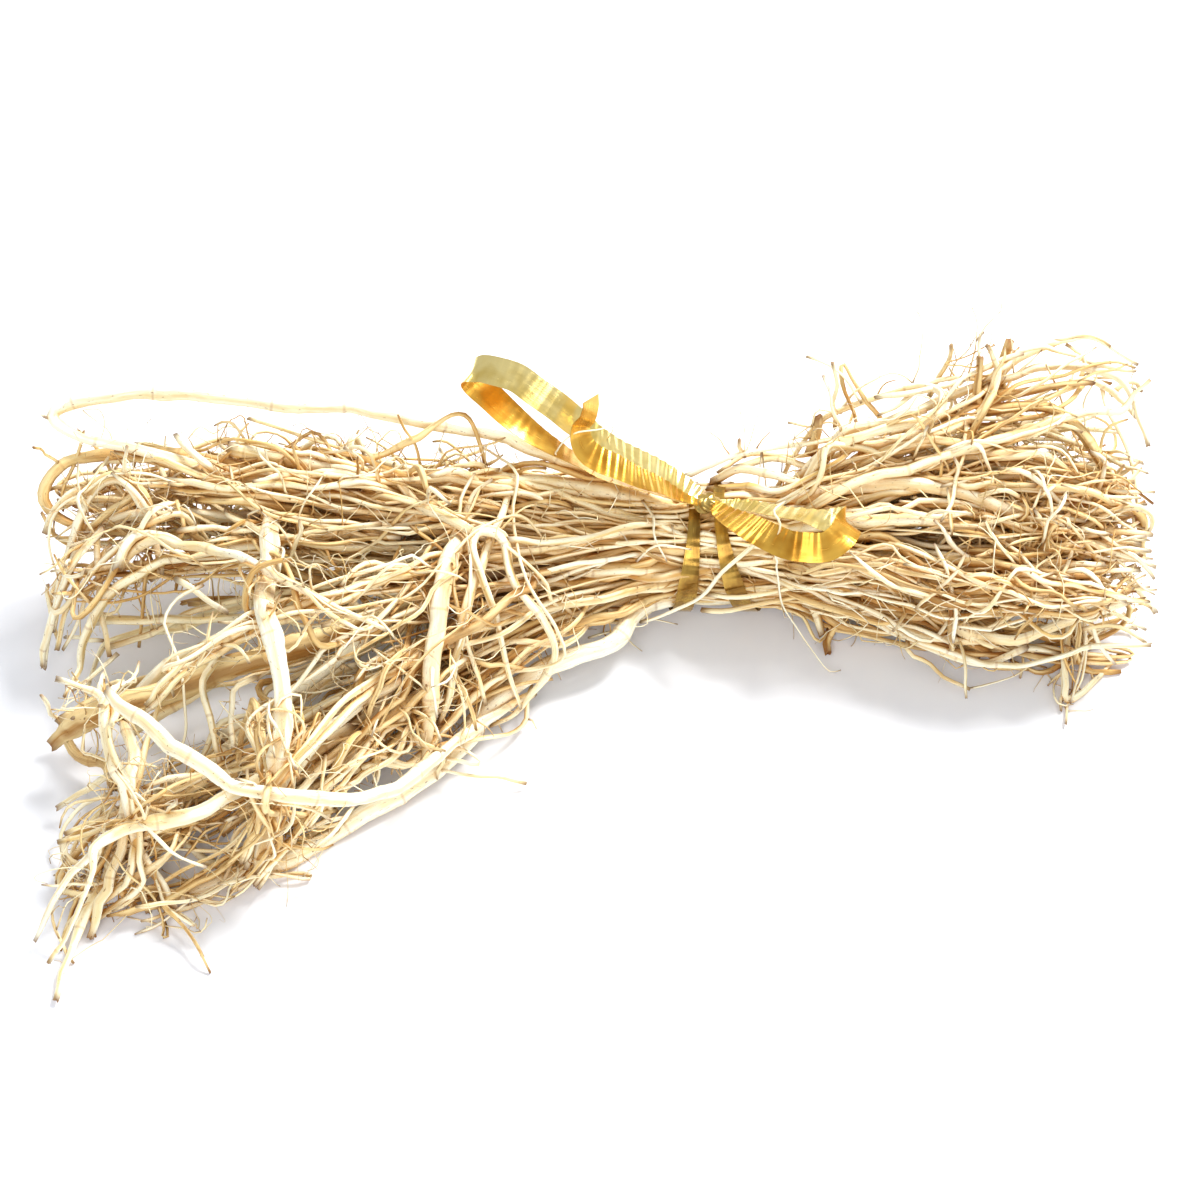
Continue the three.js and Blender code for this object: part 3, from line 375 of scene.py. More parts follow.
PLACED_ROOTS = {
    "ridge_twig": (0.35, "tan", [[-58, 14, 30], [-51, 10, 31], [-44, 8, 30], [-41, 8, 28]]),
    "hoop": (0.7, "brown", [[-73, -3, 24], [-74, -2, 28], [-76, 0, 30], [-79, 1, 31], [-82, 0, 30],
        [-84, -1, 26], [-85, -3, 22], [-87, -3, 17]]),
    "pale_stub": (0.9, "cream", [[-78, -13, 24], [-77, -11, 26], [-75, -9, 27], [-71, -9, 27],
        [-67, -10, 25]]),
    "left_rib": (0.6, "cream", [[-68, -8, 27], [-63, -8, 28], [-58, -9, 28], [-54, -7, 27]]),
    "brown_drop": (0.35, "brown", [[-73, -10, 24], [-74, -13, 18], [-75, -14, 12], [-76, -16, 7]]),
    "pale_drop": (0.55, "cream", [[-82, -6, 24], [-82, -10, 20], [-82, -14, 15], [-80, -21, 11]]),
    "fringe_1": (0.6, "cream", [[-81, -6, 25], [-86, -10, 22], [-89, -13, 15], [-91, -15, 8],
        [-92, -17, 3]]),
    "fringe_2": (0.5, "straw", [[-80, -7, 22], [-85, -11, 18], [-88, -12, 11], [-90, -14, 4]]),
    "fringe_3": (0.45, "cream", [[-79, -8, 20], [-84, -10, 15], [-86, -13, 10], [-89, -14, 4]]),
    "fringe_4": (0.5, "tan", [[-87, -7, 19], [-90, -9, 14], [-91, -10, 9], [-90, -12, 4]]),
    "left_tip": (0.7, "cream", [[-85, 1, 27], [-88, 0, 26], [-90, -1, 24], [-91, -3, 21]]),
    "middle_stub": (0.6, "cream", [[-68, -16, 24], [-65, -18, 24], [-60, -21, 22]]),
    "middle_drop": (0.35, "cream", [[-64, -18, 25], [-68, -19, 23], [-70, -22, 21], [-69, -25, 19],
        [-67, -31, 18], [-66, -38, 14], [-67, -41, 11]]),
    "wavy_drop": (0.7, "straw", [[-61, -28, 20], [-63, -33, 19], [-62, -38, 17], [-61, -42, 15],
        [-60, -45, 12]]),
    "bent_drop": (0.55, "cream", [[-55, -33, 20], [-58, -35, 20], [-58, -38, 19], [-58, -44, 15]]),
    "notch_1": (1.2, "cream", [[-75, -29, 10], [-70, -25, 13], [-63, -23, 15], [-56, -20, 17],
        [-47, -16, 18], [-37, -13, 19]]),
    "notch_2": (1.0, "straw", [[-76, -35, 8], [-72, -33, 10], [-66, -31, 12], [-60, -27, 14],
        [-51, -22, 15], [-42, -18, 16]]),
    "notch_3": (1.3, "cream", [[-61, -34, 6], [-55, -32, 9], [-49, -29, 12], [-43, -25, 14],
        [-38, -21, 15]]),
    "notch_4": (0.7, "tan", [[-78, -26, 8], [-72, -26, 11], [-62, -25, 13], [-53, -24, 15]]),
    "notch_5": (0.8, "straw", [[-83, -13, 10], [-74, -14, 12], [-65, -16, 14], [-56, -16, 15]]),
    "notch_6": (0.6, "tan", [[-81, -16, 7], [-74, -16, 10], [-66, -14, 14], [-57, -13, 16],
        [-49, -13, 18]]),
    "slant_1": (1.0, "cream", [[-53, -53, 12], [-48, -48, 15], [-43, -41, 17], [-37, -36, 18],
        [-32, -32, 18]]),
    "slant_2": (0.9, "tan", [[-60, -53, 6], [-54, -48, 8], [-47, -43, 9], [-41, -36, 10], [-36, -31, 11]]),
    "torn_stump": (1.7, "brown", [[-79, -29, 9], [-83, -30, 8], [-87, -31, 6]]),
    "torn_skin": (1.0, "brown", [[-87, -31, 5], [-86, -34, 4], [-83, -37, 4], [-80, -39, 5],
        [-78, -44, 6]]),
    "fan_1": (0.6, "straw", [[-78, -43, 8], [-82, -44, 6], [-87, -46, 3]]),
    "fan_2": (0.4, "cream", [[-78, -46, 7], [-83, -48, 5], [-86, -52, 3], [-85, -56, 2]]),
    "fan_3": (0.4, "straw", [[-78, -48, 7], [-82, -52, 5], [-84, -57, 3], [-86, -60, 2]]),
    "fan_4": (0.45, "cream", [[-77, -49, 7], [-80, -53, 5], [-81, -60, 4], [-82, -64, 2]]),
    "left_spur": (0.45, "cream", [[-79, -20, 10], [-83, -24, 9], [-86, -25, 7]]),
    "foot_1": (0.9, "cream", [[-74, -55, 7], [-71, -59, 5], [-67, -65, 2]]),
    "foot_2": (0.8, "tan", [[-78, -58, 6], [-75, -63, 4], [-73, -65, 2]]),
    "long_arc": (0.55, "cream", [[14, 10, 20], [18, 10, 22], [22, 11, 24], [27, 12, 25], [33, 12, 26],
        [41, 13, 27], [48, 13, 28], [56, 14, 29]]),
    "shoulder_1": (0.8, "cream", [[19, 10, 19], [23, 10, 22], [29, 8, 23], [34, 6, 23], [41, 6, 23]]),
    "shoulder_2": (0.6, "straw", [[18, 8, 19], [24, 7, 21], [29, 5, 22], [34, 6, 24], [39, 8, 26],
        [44, 12, 28]]),
    "shoulder_3": (0.7, "straw", [[23, 12, 20], [28, 13, 21], [33, 11, 22], [40, 9, 23]]),
    "shoulder_4": (0.5, "tan", [[20, 12, 19], [25, 14, 21], [32, 13, 22], [38, 12, 24]]),
    "spike": (0.45, "tan", [[39, 15, 27], [39, 16, 31], [39, 16, 36], [38, 16, 41]]),
    "brown_stub": (0.9, "brown", [[35, 12, 24], [36, 13, 27], [36, 14, 30]]),
    "knee": (0.4, "tan", [[24, 12, 23], [23, 11, 26], [23, 11, 28]]),
    "top_hair_1": (0.16, "brown", [[22, 12, 22], [21, 12, 25], [20, 12, 27], [18, 11, 30]]),
    "top_hair_2": (0.15, "cream", [[24, 11, 24], [24, 12, 28], [23, 12, 34]]),
    "top_hair_3": (0.15, "cream", [[24, 12, 23], [25, 12, 27], [26, 12, 33]]),
    "top_hair_4": (0.16, "brown", [[26, 12, 25], [27, 12, 27], [28, 11, 30]]),
    "top_hair_5": (0.28, "tan", [[31, 13, 30], [35, 13, 29], [38, 14, 29], [41, 14, 27]]),
    "top_hair_6": (0.22, "tan", [[35, 13, 29], [36, 14, 32], [40, 15, 30]]),
    "top_hair_7": (0.2, "brown", [[46, 19, 30], [47, 19, 33], [49, 19, 34]]),
    "top_hair_8": (0.3, "cream", [[40, 17, 29], [43, 18, 33], [47, 19, 35], [50, 20, 34], [52, 20, 32]]),
    "tall_hair_1": (0.2, "cream", [[52, 21, 31], [53, 21, 36], [53, 21, 40], [53, 23, 43], [52, 24, 45]]),
    "tall_hair_2": (0.2, "cream", [[61, 22, 31], [62, 23, 36], [62, 23, 39], [62, 25, 42], [61, 25, 45]]),
    "tall_hair_3": (0.18, "cream", [[62, 23, 39], [64, 25, 41], [66, 26, 43], [66, 26, 45]]),
    "tall_hair_4": (0.18, "cream", [[58, 21, 31], [59, 23, 34], [61, 23, 37], [62, 24, 39]]),
    "top_twig": (0.45, "tan", [[55, 21, 28], [56, 21, 32], [58, 23, 35], [58, 23, 38]]),
    "top_stub": (0.85, "brown", [[67, 22, 27], [67, 24, 32], [68, 26, 36]]),
    "rim_1": (0.45, "cream", [[84, 25, 27], [85, 21, 25], [87, 17, 23], [89, 13, 19], [90, 9, 15],
        [91, 7, 12]]),
    "rim_2": (0.7, "cream", [[76, 23, 28], [81, 24, 29], [85, 24, 27], [88, 23, 25], [90, 21, 23]]),
    "rim_3": (0.5, "cream", [[86, 24, 25], [88, 25, 27], [90, 26, 26], [91, 25, 25]]),
    "rim_4": (0.4, "tan", [[80, 24, 28], [81, 26, 30], [80, 27, 32], [78, 28, 33]]),
    "rim_5": (0.5, "straw", [[77, 12, 20], [83, 13, 20], [88, 15, 19], [91, 15, 18]]),
    "rim_6": (0.4, "brown", [[77, 1, 14], [82, 2, 14], [87, 6, 15], [91, 8, 16]]),
    "keel_1": (0.6, "cream", [[39, -2, 8], [45, -8, 7], [51, -13, 6], [58, -16, 6], [66, -19, 6],
        [73, -19, 7], [80, -18, 9], [90, -18, 10]]),
    "keel_2": (0.7, "cream", [[43, -7, 5], [50, -12, 5], [56, -15, 5], [62, -17, 4], [66, -17, 5],
        [70, -17, 8]]),
    "keel_3": (1.0, "cream", [[44, -3, 12], [51, -7, 11], [56, -12, 10], [61, -15, 9], [68, -16, 9],
        [75, -14, 10], [82, -13, 12], [87, -11, 13]]),
    "low_twig_1": (0.4, "tan", [[51, -13, 5], [51, -15, 4], [54, -16, 3], [57, -18, 2], [61, -20, 1]]),
    "low_twig_2": (0.25, "cream", [[61, -20, 1], [64, -20, 2], [66, -20, 3], [69, -19, 4], [72, -18, 6]]),
    "curl": (0.25, "cream", [[30, -6, 32], [28, -9, 33], [29, -11, 32], [28, -12, 27], [29, -10, 20],
        [30, -9, 12], [31, -9, 8], [33, -11, 5], [35, -13, 3], [38, -16, 1], [40, -16, 1]]),
    "spur_1": (0.9, "straw", [[32, -4, 11], [34, -6, 7], [36, -7, 4], [37, -9, 2]]),
    "spur_2": (0.8, "brown", [[41, -7, 4], [39, -8, 2], [38, -10, 1], [38, -12, 1]]),
    "tip_1": (0.4, "straw", [[82, -11, 12], [86, -12, 10], [90, -13, 8]]),
    "tip_2": (0.4, "cream", [[79, -14, 9], [85, -13, 9], [90, -15, 7]]),
    "over_turn_1": (0.45, "straw", [[18, -8, 11], [22, -9, 11.5], [28, -9, 12.5], [34, -8, 13],
        [42, -8, 12]]),
    "over_turn_2": (0.4, "tan", [[17, -8.5, 7.5], [22, -9, 8], [28, -8.5, 9.5], [36, -7.5, 10.5],
        [44, -8, 9]]),
    "over_tie": (0.42, "cream", [[28, -3, 22], [25, -6, 21], [20, -9, 18], [17, -10, 13], [12, -10, 9],
        [7, -9, 5]]),
    "low_hair_1": (0.25, "cream", [[-2, -10, 2], [3, -8, 2], [8, -7, 3], [13, -7, 2]]),
    "low_hair_2": (0.2, "cream", [[3, -8, 2], [5, -10, 1], [7, -12, 1]]),
    "tail_hair": (0.18, "cream", [[-7, 8, 27], [-7, 0, 38], [-4, -1, 43], [0, 0, 43], [2, 4, 39],
        [1, 6, 33]]),
    "tie_hair_1": (0.3, "cream", [[7, 3, 22], [9, -1, 22], [9, -4, 21], [11, -6, 17]]),
    "tie_hair_2": (0.3, "cream", [[6, -6, 17], [8, -5, 19], [10, -5, 20], [15, -6, 20]]),
}


def placed_strands():
    """The roots placed one by one, under the finish that each is made of."""
    found = {}
    for radius, finish, route in PLACED_ROOTS.values():
        kind = "part" if radius >= 0.55 else "fine" if radius > 0.3 else "rootlet"
        points, part = resample(np.array(route, float) + VIEW_POINT, STEP[kind])
        radii = radius * (1 - 0.25 * part) if radius > 0.3 else radius * (1 - 0.5 * part)
        points = crooked(points, STEP[kind], 0.12 + 0.12 * min(radius, 1))
        points[:, 2] = np.maximum(points[:, 2], radii)
        found.setdefault("root_" + finish, []).append(Strand(points, radii, kind))
    return found


# ---- walkers: finer roots that follow the thick ones, and rootlets that stray ----

class Flow:
    """Which way the thick roots run at each place, and how far off they are."""

    def __init__(self, strands, kept):
        self.at = np.vstack([s.points[k][::3] for s, k in zip(strands, kept)])
        self.way = np.vstack([directions(s.points)[k][::3] for s, k in zip(strands, kept)])

    def read(self, places, headings, spread):
        apart2 = ((places**2).sum(1)[:, None] + (self.at**2).sum(1)[None, :]
                  - 2 * places @ self.at.T).clip(0)
        side = headings @ self.way.T
        weight = np.exp(-apart2 / (2 * spread**2)) * (0.15 + side**2) + 1e-12
        total = weight.sum(1, keepdims=True)
        way = (weight * np.sign(side)) @ self.way / total
        return way, weight @ self.at / total, np.sqrt(apart2.min(1))


def crowded(strands, reach=7.0, least=3):
    """For each strand, which of its points have at least that many other strands about them."""
    tree = KDTree(sum(len(s.points) for s in strands))
    owners = []
    for number, strand in enumerate(strands):
        for place in strand.points:
            tree.insert(place, len(owners))
            owners.append(number)
    tree.balance()
    return [np.array([len({owners[k] for _, k, _ in tree.find_range(place, reach)}) > least
                      for place in strand.points]) for strand in strands]


def inside_tie(places, radii):
    """Keeps points near the tie within it, and every point above the table."""
    near = np.abs(places[:, 0] - TIE["x"]) < TIE["reach"]
    y, z = places[:, 1] - TIE["y"], places[:, 2] - TIE["z"]
    out = np.hypot(y, z)
    room = TIE["radius"] - radii
    pull = np.where(near & (out > room), room / np.maximum(out, 1e-6), 1)
    places[:, 1] = TIE["y"] + y * pull
    places[:, 2] = np.maximum(TIE["z"] + z * pull, radii + 0.05)
    return places


def in_box(places, margin=EDGE):
    """Which places are within the bunch's box, less a margin that may differ from place to place."""
    margin = np.broadcast_to(margin, len(places))[:, None]
    low, high = BOX[0] + margin, BOX[1] - margin
    return ((places > low)[:, :2] & (places < high)[:, :2]).all(1) & (places[:, 2] < BOX[1][2] - EDGE)


# How each kind walks: mm at a step, how much it follows the flow, how far it sways, how often it kinks
# and how sharply, how much it keeps its first heading, and how far it strays before it is pulled back.
Habit = namedtuple("Habit", "step follow sway kinks kink home leash")
HABITS = {
    "through": Habit(2.0, 0.30, 0.04, 0.18, 0.14, 0.0, 2.6),
    "lobe": Habit(2.0, 0.16, 0.04, 0.2, 0.18, 0.0, 2.8),
    "tangle": Habit(1.6, 0.06, 0.04, 0.25, 0.24, 0.04, 3.4),
    "twig": Habit(1.6, 0.02, 0.03, 0.3, 0.26, 0.06, 4.5),
    "rootlet": Habit(0.9, 0.0, 0.05, 0.3, 0.42, 0.12, 4.5),
    "spur": Habit(0.8, 0.0, 0.05, 0.25, 0.35, 0.1, 6.0),
}


def walk(flow, starts, headings, steps, radii, habit):
    """Walks every start for its own number of steps, as the habit says. Returns one path each."""
    places, headings, home = starts.copy(), headings.copy(), headings.copy()
    paths = [[p.copy()] for p in places]
    drift = random.normal(0, 1, places.shape)
    margins = EDGE + random.gamma(1.1, 3.4, len(places))
    alive = np.ones(len(places), bool)
    for turn in range(int(steps.max())):
        drift = 0.8 * drift + 0.6 * random.normal(0, 1, places.shape)
        way, middle, far = flow.read(places, headings, 4.0)
        pull = (middle - places) * (np.maximum(0, far - habit.leash) / 10)[:, None]
        headings = headings + habit.follow * (way - headings) + habit.home * (home - headings)
        headings += pull + drift * habit.sway
        kinked = random.random(len(places)) < habit.kinks
        headings[kinked] += random.normal(0, habit.kink, (int(kinked.sum()), 3))
        headings /= np.linalg.norm(headings, axis=1, keepdims=True)
        moved = inside_tie(places + headings * habit.step, radii)
        stuck = np.linalg.norm(moved - places, axis=1) < habit.step * 0.35
        alive &= (turn < steps) & (far < habit.leash + 8) & ~stuck & in_box(moved, margins)
        places = moved
        for i in np.nonzero(alive)[0]:
            paths[i].append(places[i].copy())
    return [np.array(path) for path in paths]


def fine_strand(path, radius):
    points, part = resample(smooth(path, 1), STEP["fine"])
    taper = np.minimum(1, 0.6 + 3 * np.minimum(part, 1 - part))
    radii = radius * taper * (1 + 0.14 * wander(len(points), STEP["fine"], 7, 1)[:, 0].clip(-1.5, 1.5))
    return Strand(points, radii, "fine")


def fine_group(flow, pool, chosen, habit_name, reach, radius):
    """Walks out both ways from the chosen places, so that each makes one root."""
    habit = HABITS[habit_name]
    count = len(chosen)
    radii = radius[0] + (radius[1] - radius[0]) * random.random(count) ** 1.5
    starts = inside_tie(pool[chosen, :3] + random.normal(0, 1.8, (count, 3)), radii)
    headings = pool[chosen, 3:] + random.normal(0, habit.kink, (count, 3))
    headings /= np.linalg.norm(headings, axis=1, keepdims=True)
    steps = (random.uniform(*reach, (2, count)) / habit.step).astype(int)
    ahead = walk(flow, starts, headings, steps[0], radii, habit)
    behind = walk(flow, starts, -headings, steps[1], radii, habit)
    made = []
    for forward, backward, thick in zip(ahead, behind, radii):
        path = np.vstack([backward[::-1], forward[1:]])
        if len(path) > 4 and in_box(path).all():
            made.append(fine_strand(path, thick))
    return made


def turned(pool, size):
    """The same places with their headings shaken by about that much."""
    return pool + np.hstack([np.zeros((len(pool), 3)), random.normal(0, size, (len(pool), 3))])


def fine_roots(flow, guides, kept):
    """All the finer roots. The pool holds the thick roots' points, each with its heading."""
    pool = np.vstack([np.hstack([s.points, directions(s.points)])[k] for s, k in zip(guides, kept)])
    off = np.abs(pool[:, 0] - TIE["x"])
    at_tie, away, free = off < TIE["reach"], off >= TIE["reach"], off > FREE_ENDS
    through = random.choice(np.nonzero(at_tie)[0], THROUGH_ROOTS)
    lobe = random.choice(np.nonzero(away)[0], LOBE_ROOTS)
    free = np.nonzero(free)[0]
    chance = np.where(pool[free, 0] > TIE["x"], 2.0, 1.0)
    chance /= chance.sum()
    tangle = random.choice(free, TANGLE_ROOTS, p=chance)
    twigs = random.choice(free, TWIGS, p=chance)
    crossing = turned(pool, 0.45)
    loose = turned(pool, 0.9)
    return (fine_group(flow, pool, through, "through", (40, 105), (0.3, 0.75))
            + fine_group(flow, pool, lobe, "lobe", (16, 55), (0.22, 0.62))
            + fine_group(flow, crossing, tangle, "tangle", (8, 24), (0.22, 0.6))
            + fine_group(flow, loose, twigs, "twig", (4, 13), (0.15, 0.4)))


def relax(fixed, moving, rounds):
    """Pushes the moving strands off the fixed ones and off each other."""
    owners, places, radii = [], [], []
    for number, strand in enumerate(fixed + moving):
        owners += [number] * len(strand.points)
        places.append(strand.points)
        radii.append(strand.radii)
    owners, places, radii = np.array(owners), np.vstack(places), np.concatenate(radii)
    movable = owners >= len(fixed)
    reach = radii.max()
    for _ in range(rounds):
        tree = KDTree(len(places))
        for i, place in enumerate(places):
            tree.insert(place, i)
        tree.balance()
        shift = np.zeros_like(places)
        hits = np.ones(len(places))
        for i in np.nonzero(movable)[0]:
            for _, j, far in tree.find_range(places[i], radii[i] + reach):
                lack = radii[i] + radii[j] - far
                if lack <= 0 or owners[j] == owners[i] or far < 1e-6:
                    continue
                share = 0.5 if movable[j] else 1.0
                shift[i] += (places[i] - places[j]) / far * lack * share
                hits[i] += 0.5
        places += shift / hits[:, None]
        places[movable] = inside_tie(places[movable], radii[movable])
    for number, strand in enumerate(moving, len(fixed)):
        strand.points = smooth(places[owners == number], 1)


def shade_strands(strands, cell=1.5):
    """Sets each strand's painted shade, 0 at the outside of the bunch and 1 well within it, which darkens
    its colour for the shade deep in the bunch. It comes from the least root that lies over a point, of the
    ways in OPEN_WAYS."""
    places = np.vstack([s.points for s in strands])
    bulk = np.concatenate([s.radii**2 * math.pi * STEP[s.kind] for s in strands])
    size = np.ceil((BOX[1] - BOX[0]) / cell).astype(int) + 2 * SHADE_REACH

    def cells(points):
        return np.clip(((points - BOX[0]) / cell).astype(int) + SHADE_REACH, 0, size - 1)

    full = np.zeros(size)
    np.add.at(full, tuple(cells(places).T), bulk)
    for axis in range(3):
        full = (np.roll(full, 1, axis) + 2 * full + np.roll(full, -1, axis)) / 4
    full /= cell**3
    for strand in strands:
        # Painted shadow: near the tie the cover counts up to twice, darkening the roots under the knot.
        near_tie = np.exp(-((strand.points[:, 0] - TIE["x"]) / 12) ** 2)
        covers = []
        for way in OPEN_WAYS:
            ahead = [strand.points + way * (strand.radii[:, None] + k * cell)
                     for k in range(2, SHADE_REACH)]
            covers.append(sum(full[tuple(cells(stop).T)] for stop in ahead) * cell)
        cover = np.min(covers, axis=0) * (1 + near_tie)
        strand.painted_shade = smooth(np.clip((cover - SHADE_FROM) / (SHADE_TO - SHADE_FROM), 0, 1), 2)


# ---- rootlets ----

def rootlets(flow, parents, count, habit_name, radius, reach, weights):
    """Hair-thin roots that leave the parents sideways. Returns (parent's number, strand) pairs."""
    habit = HABITS[habit_name]
    numbers = random.choice(len(parents), count, p=weights / weights.sum())
    starts, headings, radii = [], [], []
    for number in numbers:
        parent = parents[number]
        i = random.integers(1, len(parent.points) - 1)
        way = directions(parent.points[max(0, i - 1):i + 2])[0]
        side = random.normal(0, 1, 3) + [0, 0, 0.4]
        side -= side @ way * way
        side /= np.linalg.norm(side)
        heading = side + way * random.normal(0.3, 0.8)
        starts.append(parent.points[i] + side * parent.radii[i] * 0.6)
        headings.append(heading / np.linalg.norm(heading))
        radii.append(min(random.uniform(*radius), parent.radii[i] * 0.7))
    starts, headings, radii = np.array(starts), np.array(headings), np.array(radii)
    steps = (random.gamma(2.2, reach / 2.2, count) / habit.step).clip(3, 30).astype(int)
    paths = walk(flow, starts, headings, steps, radii, habit)
    made = []
    for number, path, thick in zip(numbers, paths, radii):
        if len(path) < 4:
            continue
        hair = Strand(path, thick * (1 - 0.6 * np.linspace(0, 1, len(path))), "rootlet")
        # A rootlet takes 0.7 of its parent's mean painted shade.
        hair.painted_shade = np.full(len(path), parents[number].painted_shade.mean() * 0.7)
        made.append((number, hair))
    return made


# ---- tubes ----

def carried_frames(points):
    """Two directions across the line at each point, carried along it without twist."""
    ahead = directions(points)
    across = np.empty_like(points)
    normal = np.cross(ahead[0], [0.3, 0.2, 0.93])
    for i, way in enumerate(ahead):
        normal = normal - (normal @ way) * way
        normal = normal / np.linalg.norm(normal)
        across[i] = normal
    return ahead, across, np.cross(ahead, across)


def node_scars(count, spacing):
    """Distance along the root from each ring to the nearest old leaf scar, one every 8 to 22 mm."""
    stops = [random.uniform(3, 12) / spacing]
    while stops[-1] < count:
        stops.append(stops[-1] + random.uniform(8, 22) / spacing)
    stops = np.round(stops)
    return np.abs(np.arange(count)[:, None] - stops[None, :]).min(1) * spacing


def grid_quads(rows, sides):
    """The faces between rows of corners, each row closed on itself."""
    k, i = np.meshgrid(np.arange(rows - 1), np.arange(sides), indexing="ij")
    j = (i + 1) % sides
    below, above = k * sides, (k + 1) * sides
    return np.stack([below + i, below + j, above + j, above + i], 2).reshape(-1, 4)


def end_fans(rows, sides):
    """The two ends' faces, round a first and a last point that come after all the rows."""
    i = np.arange(sides)
    j = (i + 1) % sides
    start, last = rows * sides, (rows - 1) * sides
    return np.vstack([np.stack([np.full(sides, start), j, i], 1),
                      np.stack([np.full(sides, start + 1), last + i, last + j], 1)])


def tube(strand):
    """Rings of corners round the strand's line, and what the material needs to know of each."""
    sides = SIDES[strand.kind]
    points = strand.points
    count = len(points)
    ahead, across, beside = carried_frames(points)
    along = distances_along(points)
    angle = 2 * math.pi * np.arange(sides) / sides
    swell = np.ones((count, sides))
    scar = np.full(count, 9.0)
    torn = np.zeros((count, sides))
    if strand.kind != "rootlet":
        turn = np.cumsum(random.normal(0, 0.12, count)) + random.uniform(0, 7)
        swell += random.uniform(0.06, 0.2) * np.cos(2 * (angle[None, :] + turn[:, None]))
        torn[0] = -random.uniform(0, 1.1, sides) * strand.radii[0]
        torn[-1] = random.uniform(0, 1.1, sides) * strand.radii[-1]
    if strand.kind in ("thick", "part"):
        lobes = random.integers(3, 5)
        swell += random.uniform(0.05, 0.13) * np.cos(lobes * (angle[None, :] - 0.6 * turn[:, None]))
        swell += random.normal(0, 0.022, (count, sides))
        scar = node_scars(count, STEP[strand.kind])
        swell += 0.10 * np.exp(-(scar / 0.9) ** 2)[:, None]
    radius = strand.radii[:, None] * swell
    ring = (np.cos(angle)[None, :, None] * across[:, None, :]
            + np.sin(angle)[None, :, None] * beside[:, None, :])
    corners = points[:, None, :] + ring * radius[:, :, None] + ahead[:, None, :] * torn[:, :, None]
    straight = np.stack([
        radius * np.cos(angle), radius * np.sin(angle), along[:, None] + torn], 2)
    straight[:, :, 2] += 900 * strand.tone
    places = np.vstack([corners.reshape(-1, 3), points[0], points[-1]])
    places[:, 2] = np.maximum(places[:, 2], 0.02)
    wear = np.exp(-np.minimum(along, along[-1] - along) / 1.3)
    relief = swell / swell.mean(1, keepdims=True) - 1
    tips = [[0, 0, straight[0, 0, 2]], [0, 0, straight[-1, 0, 2]]]
    facts = {
        "straight": np.vstack([straight.reshape(-1, 3), tips]),
        "scar": np.concatenate([np.repeat(scar, sides), [9, 9]]),
        "wear": np.concatenate([np.repeat(wear, sides), [1, 1]]),
        "relief": np.concatenate([relief.ravel(), [0, 0]]),
        "painted_shade": np.concatenate([np.repeat(strand.painted_shade, sides), strand.painted_shade[[0, -1]]]),
        "tone": np.full(len(places), strand.tone),
    }
    return places, grid_quads(count, sides), end_fans(count, sides), facts


def add_object(name, data):
    item = bpy.data.objects.new(name, data)
    bpy.context.scene.collection.objects.link(item)
    return item


def add_mesh(name, places, quads, fans, facts, material):
    """One object from corner places in millimetres and the faces' corners."""
    mesh = bpy.data.meshes.new(name)
    mesh.vertices.add(len(places))
    mesh.vertices.foreach_set("co", (places * MM).astype(np.float32).ravel())
    mesh.loops.add(quads.size + fans.size)
    mesh.loops.foreach_set("vertex_index", np.concatenate([quads.ravel(), fans.ravel()]).astype(np.int32))
    mesh.polygons.add(len(quads) + len(fans))
    starts = np.concatenate([4 * np.arange(len(quads)), quads.size + 3 * np.arange(len(fans))])
    mesh.polygons.foreach_set("loop_start", starts.astype(np.int32))
    mesh.polygons.foreach_set("use_smooth", np.ones(len(starts), bool))
    mesh.update(calc_edges=True)
    for fact, values in facts.items():
        kind, field = ("FLOAT_VECTOR", "vector") if values.ndim == 2 else ("FLOAT", "value")
        attribute = mesh.attributes.new(fact, kind, "POINT")
        attribute.data.foreach_set(field, values.astype(np.float32).ravel())
    mesh.materials.append(material)
    return add_object(name, mesh)


def strands_piece(name, strands, material):
    """All the strands' tubes as one object."""
    places, quads, fans, facts = [], [], [], []
    first = 0
    for strand in strands:
        p, q, f, a = tube(strand)
        places.append(p)
        quads.append(q + first)
        fans.append(f + first)
        facts.append(a)
        first += len(p)
    joined = {key: np.concatenate([a[key] for a in facts]) for key in facts[0]}
    return add_mesh(name, np.vstack(places), np.vstack(quads), np.vstack(fans), joined, material)


# ---- materials ----

def new_material(name):
    """A material with one shader. Returns it, its node tree and the shader."""
    material = bpy.data.materials.new(name)
    material.use_nodes = True
    tree = material.node_tree
    tree.nodes.clear()
    out = tree.nodes.new("ShaderNodeOutputMaterial")
    shader = tree.nodes.new("ShaderNodeBsdfPrincipled")
    tree.links.new(shader.outputs[0], out.inputs[0])
    return material, tree, shader


def linear(hex_colour):
    values = [int(hex_colour[k:k + 2], 16) / 255 for k in (1, 3, 5)]
    return [v / 12.92 if v <= 0.04045 else ((v + 0.055) / 1.055) ** 2.4 for v in values] + [1.0]


def make(tree, kind, **values):
    node = tree.nodes.new(kind)
    for key, value in values.items():
        if key in node.inputs:
            node.inputs[key].default_value = value
        else:
            setattr(node, key, value)
    return node


def blend(tree, amount, a, b, mode="MIX"):
    """A colour mix. amount, a and b are sockets or values."""
    node = tree.nodes.new("ShaderNodeMix")
    node.data_type = "RGBA"
    node.blend_type = mode
    for index, value in ((0, amount), (6, a), (7, b)):
        if isinstance(value, bpy.types.NodeSocket):
            tree.links.new(value, node.inputs[index])
        else:
            node.inputs[index].default_value = value
    return node.outputs[2]


def ramp(tree, value, *stops):
    node = tree.nodes.new("ShaderNodeValToRGB")
    tree.links.new(value, node.inputs[0])
    points = node.color_ramp.elements
    while len(points) < len(stops):
        points.new(0.5)
    for point, (at, colour) in zip(points, stops):
        point.position = at
        point.color = colour if not isinstance(colour, float) else [colour] * 3 + [1.0]
    return node.outputs[0]


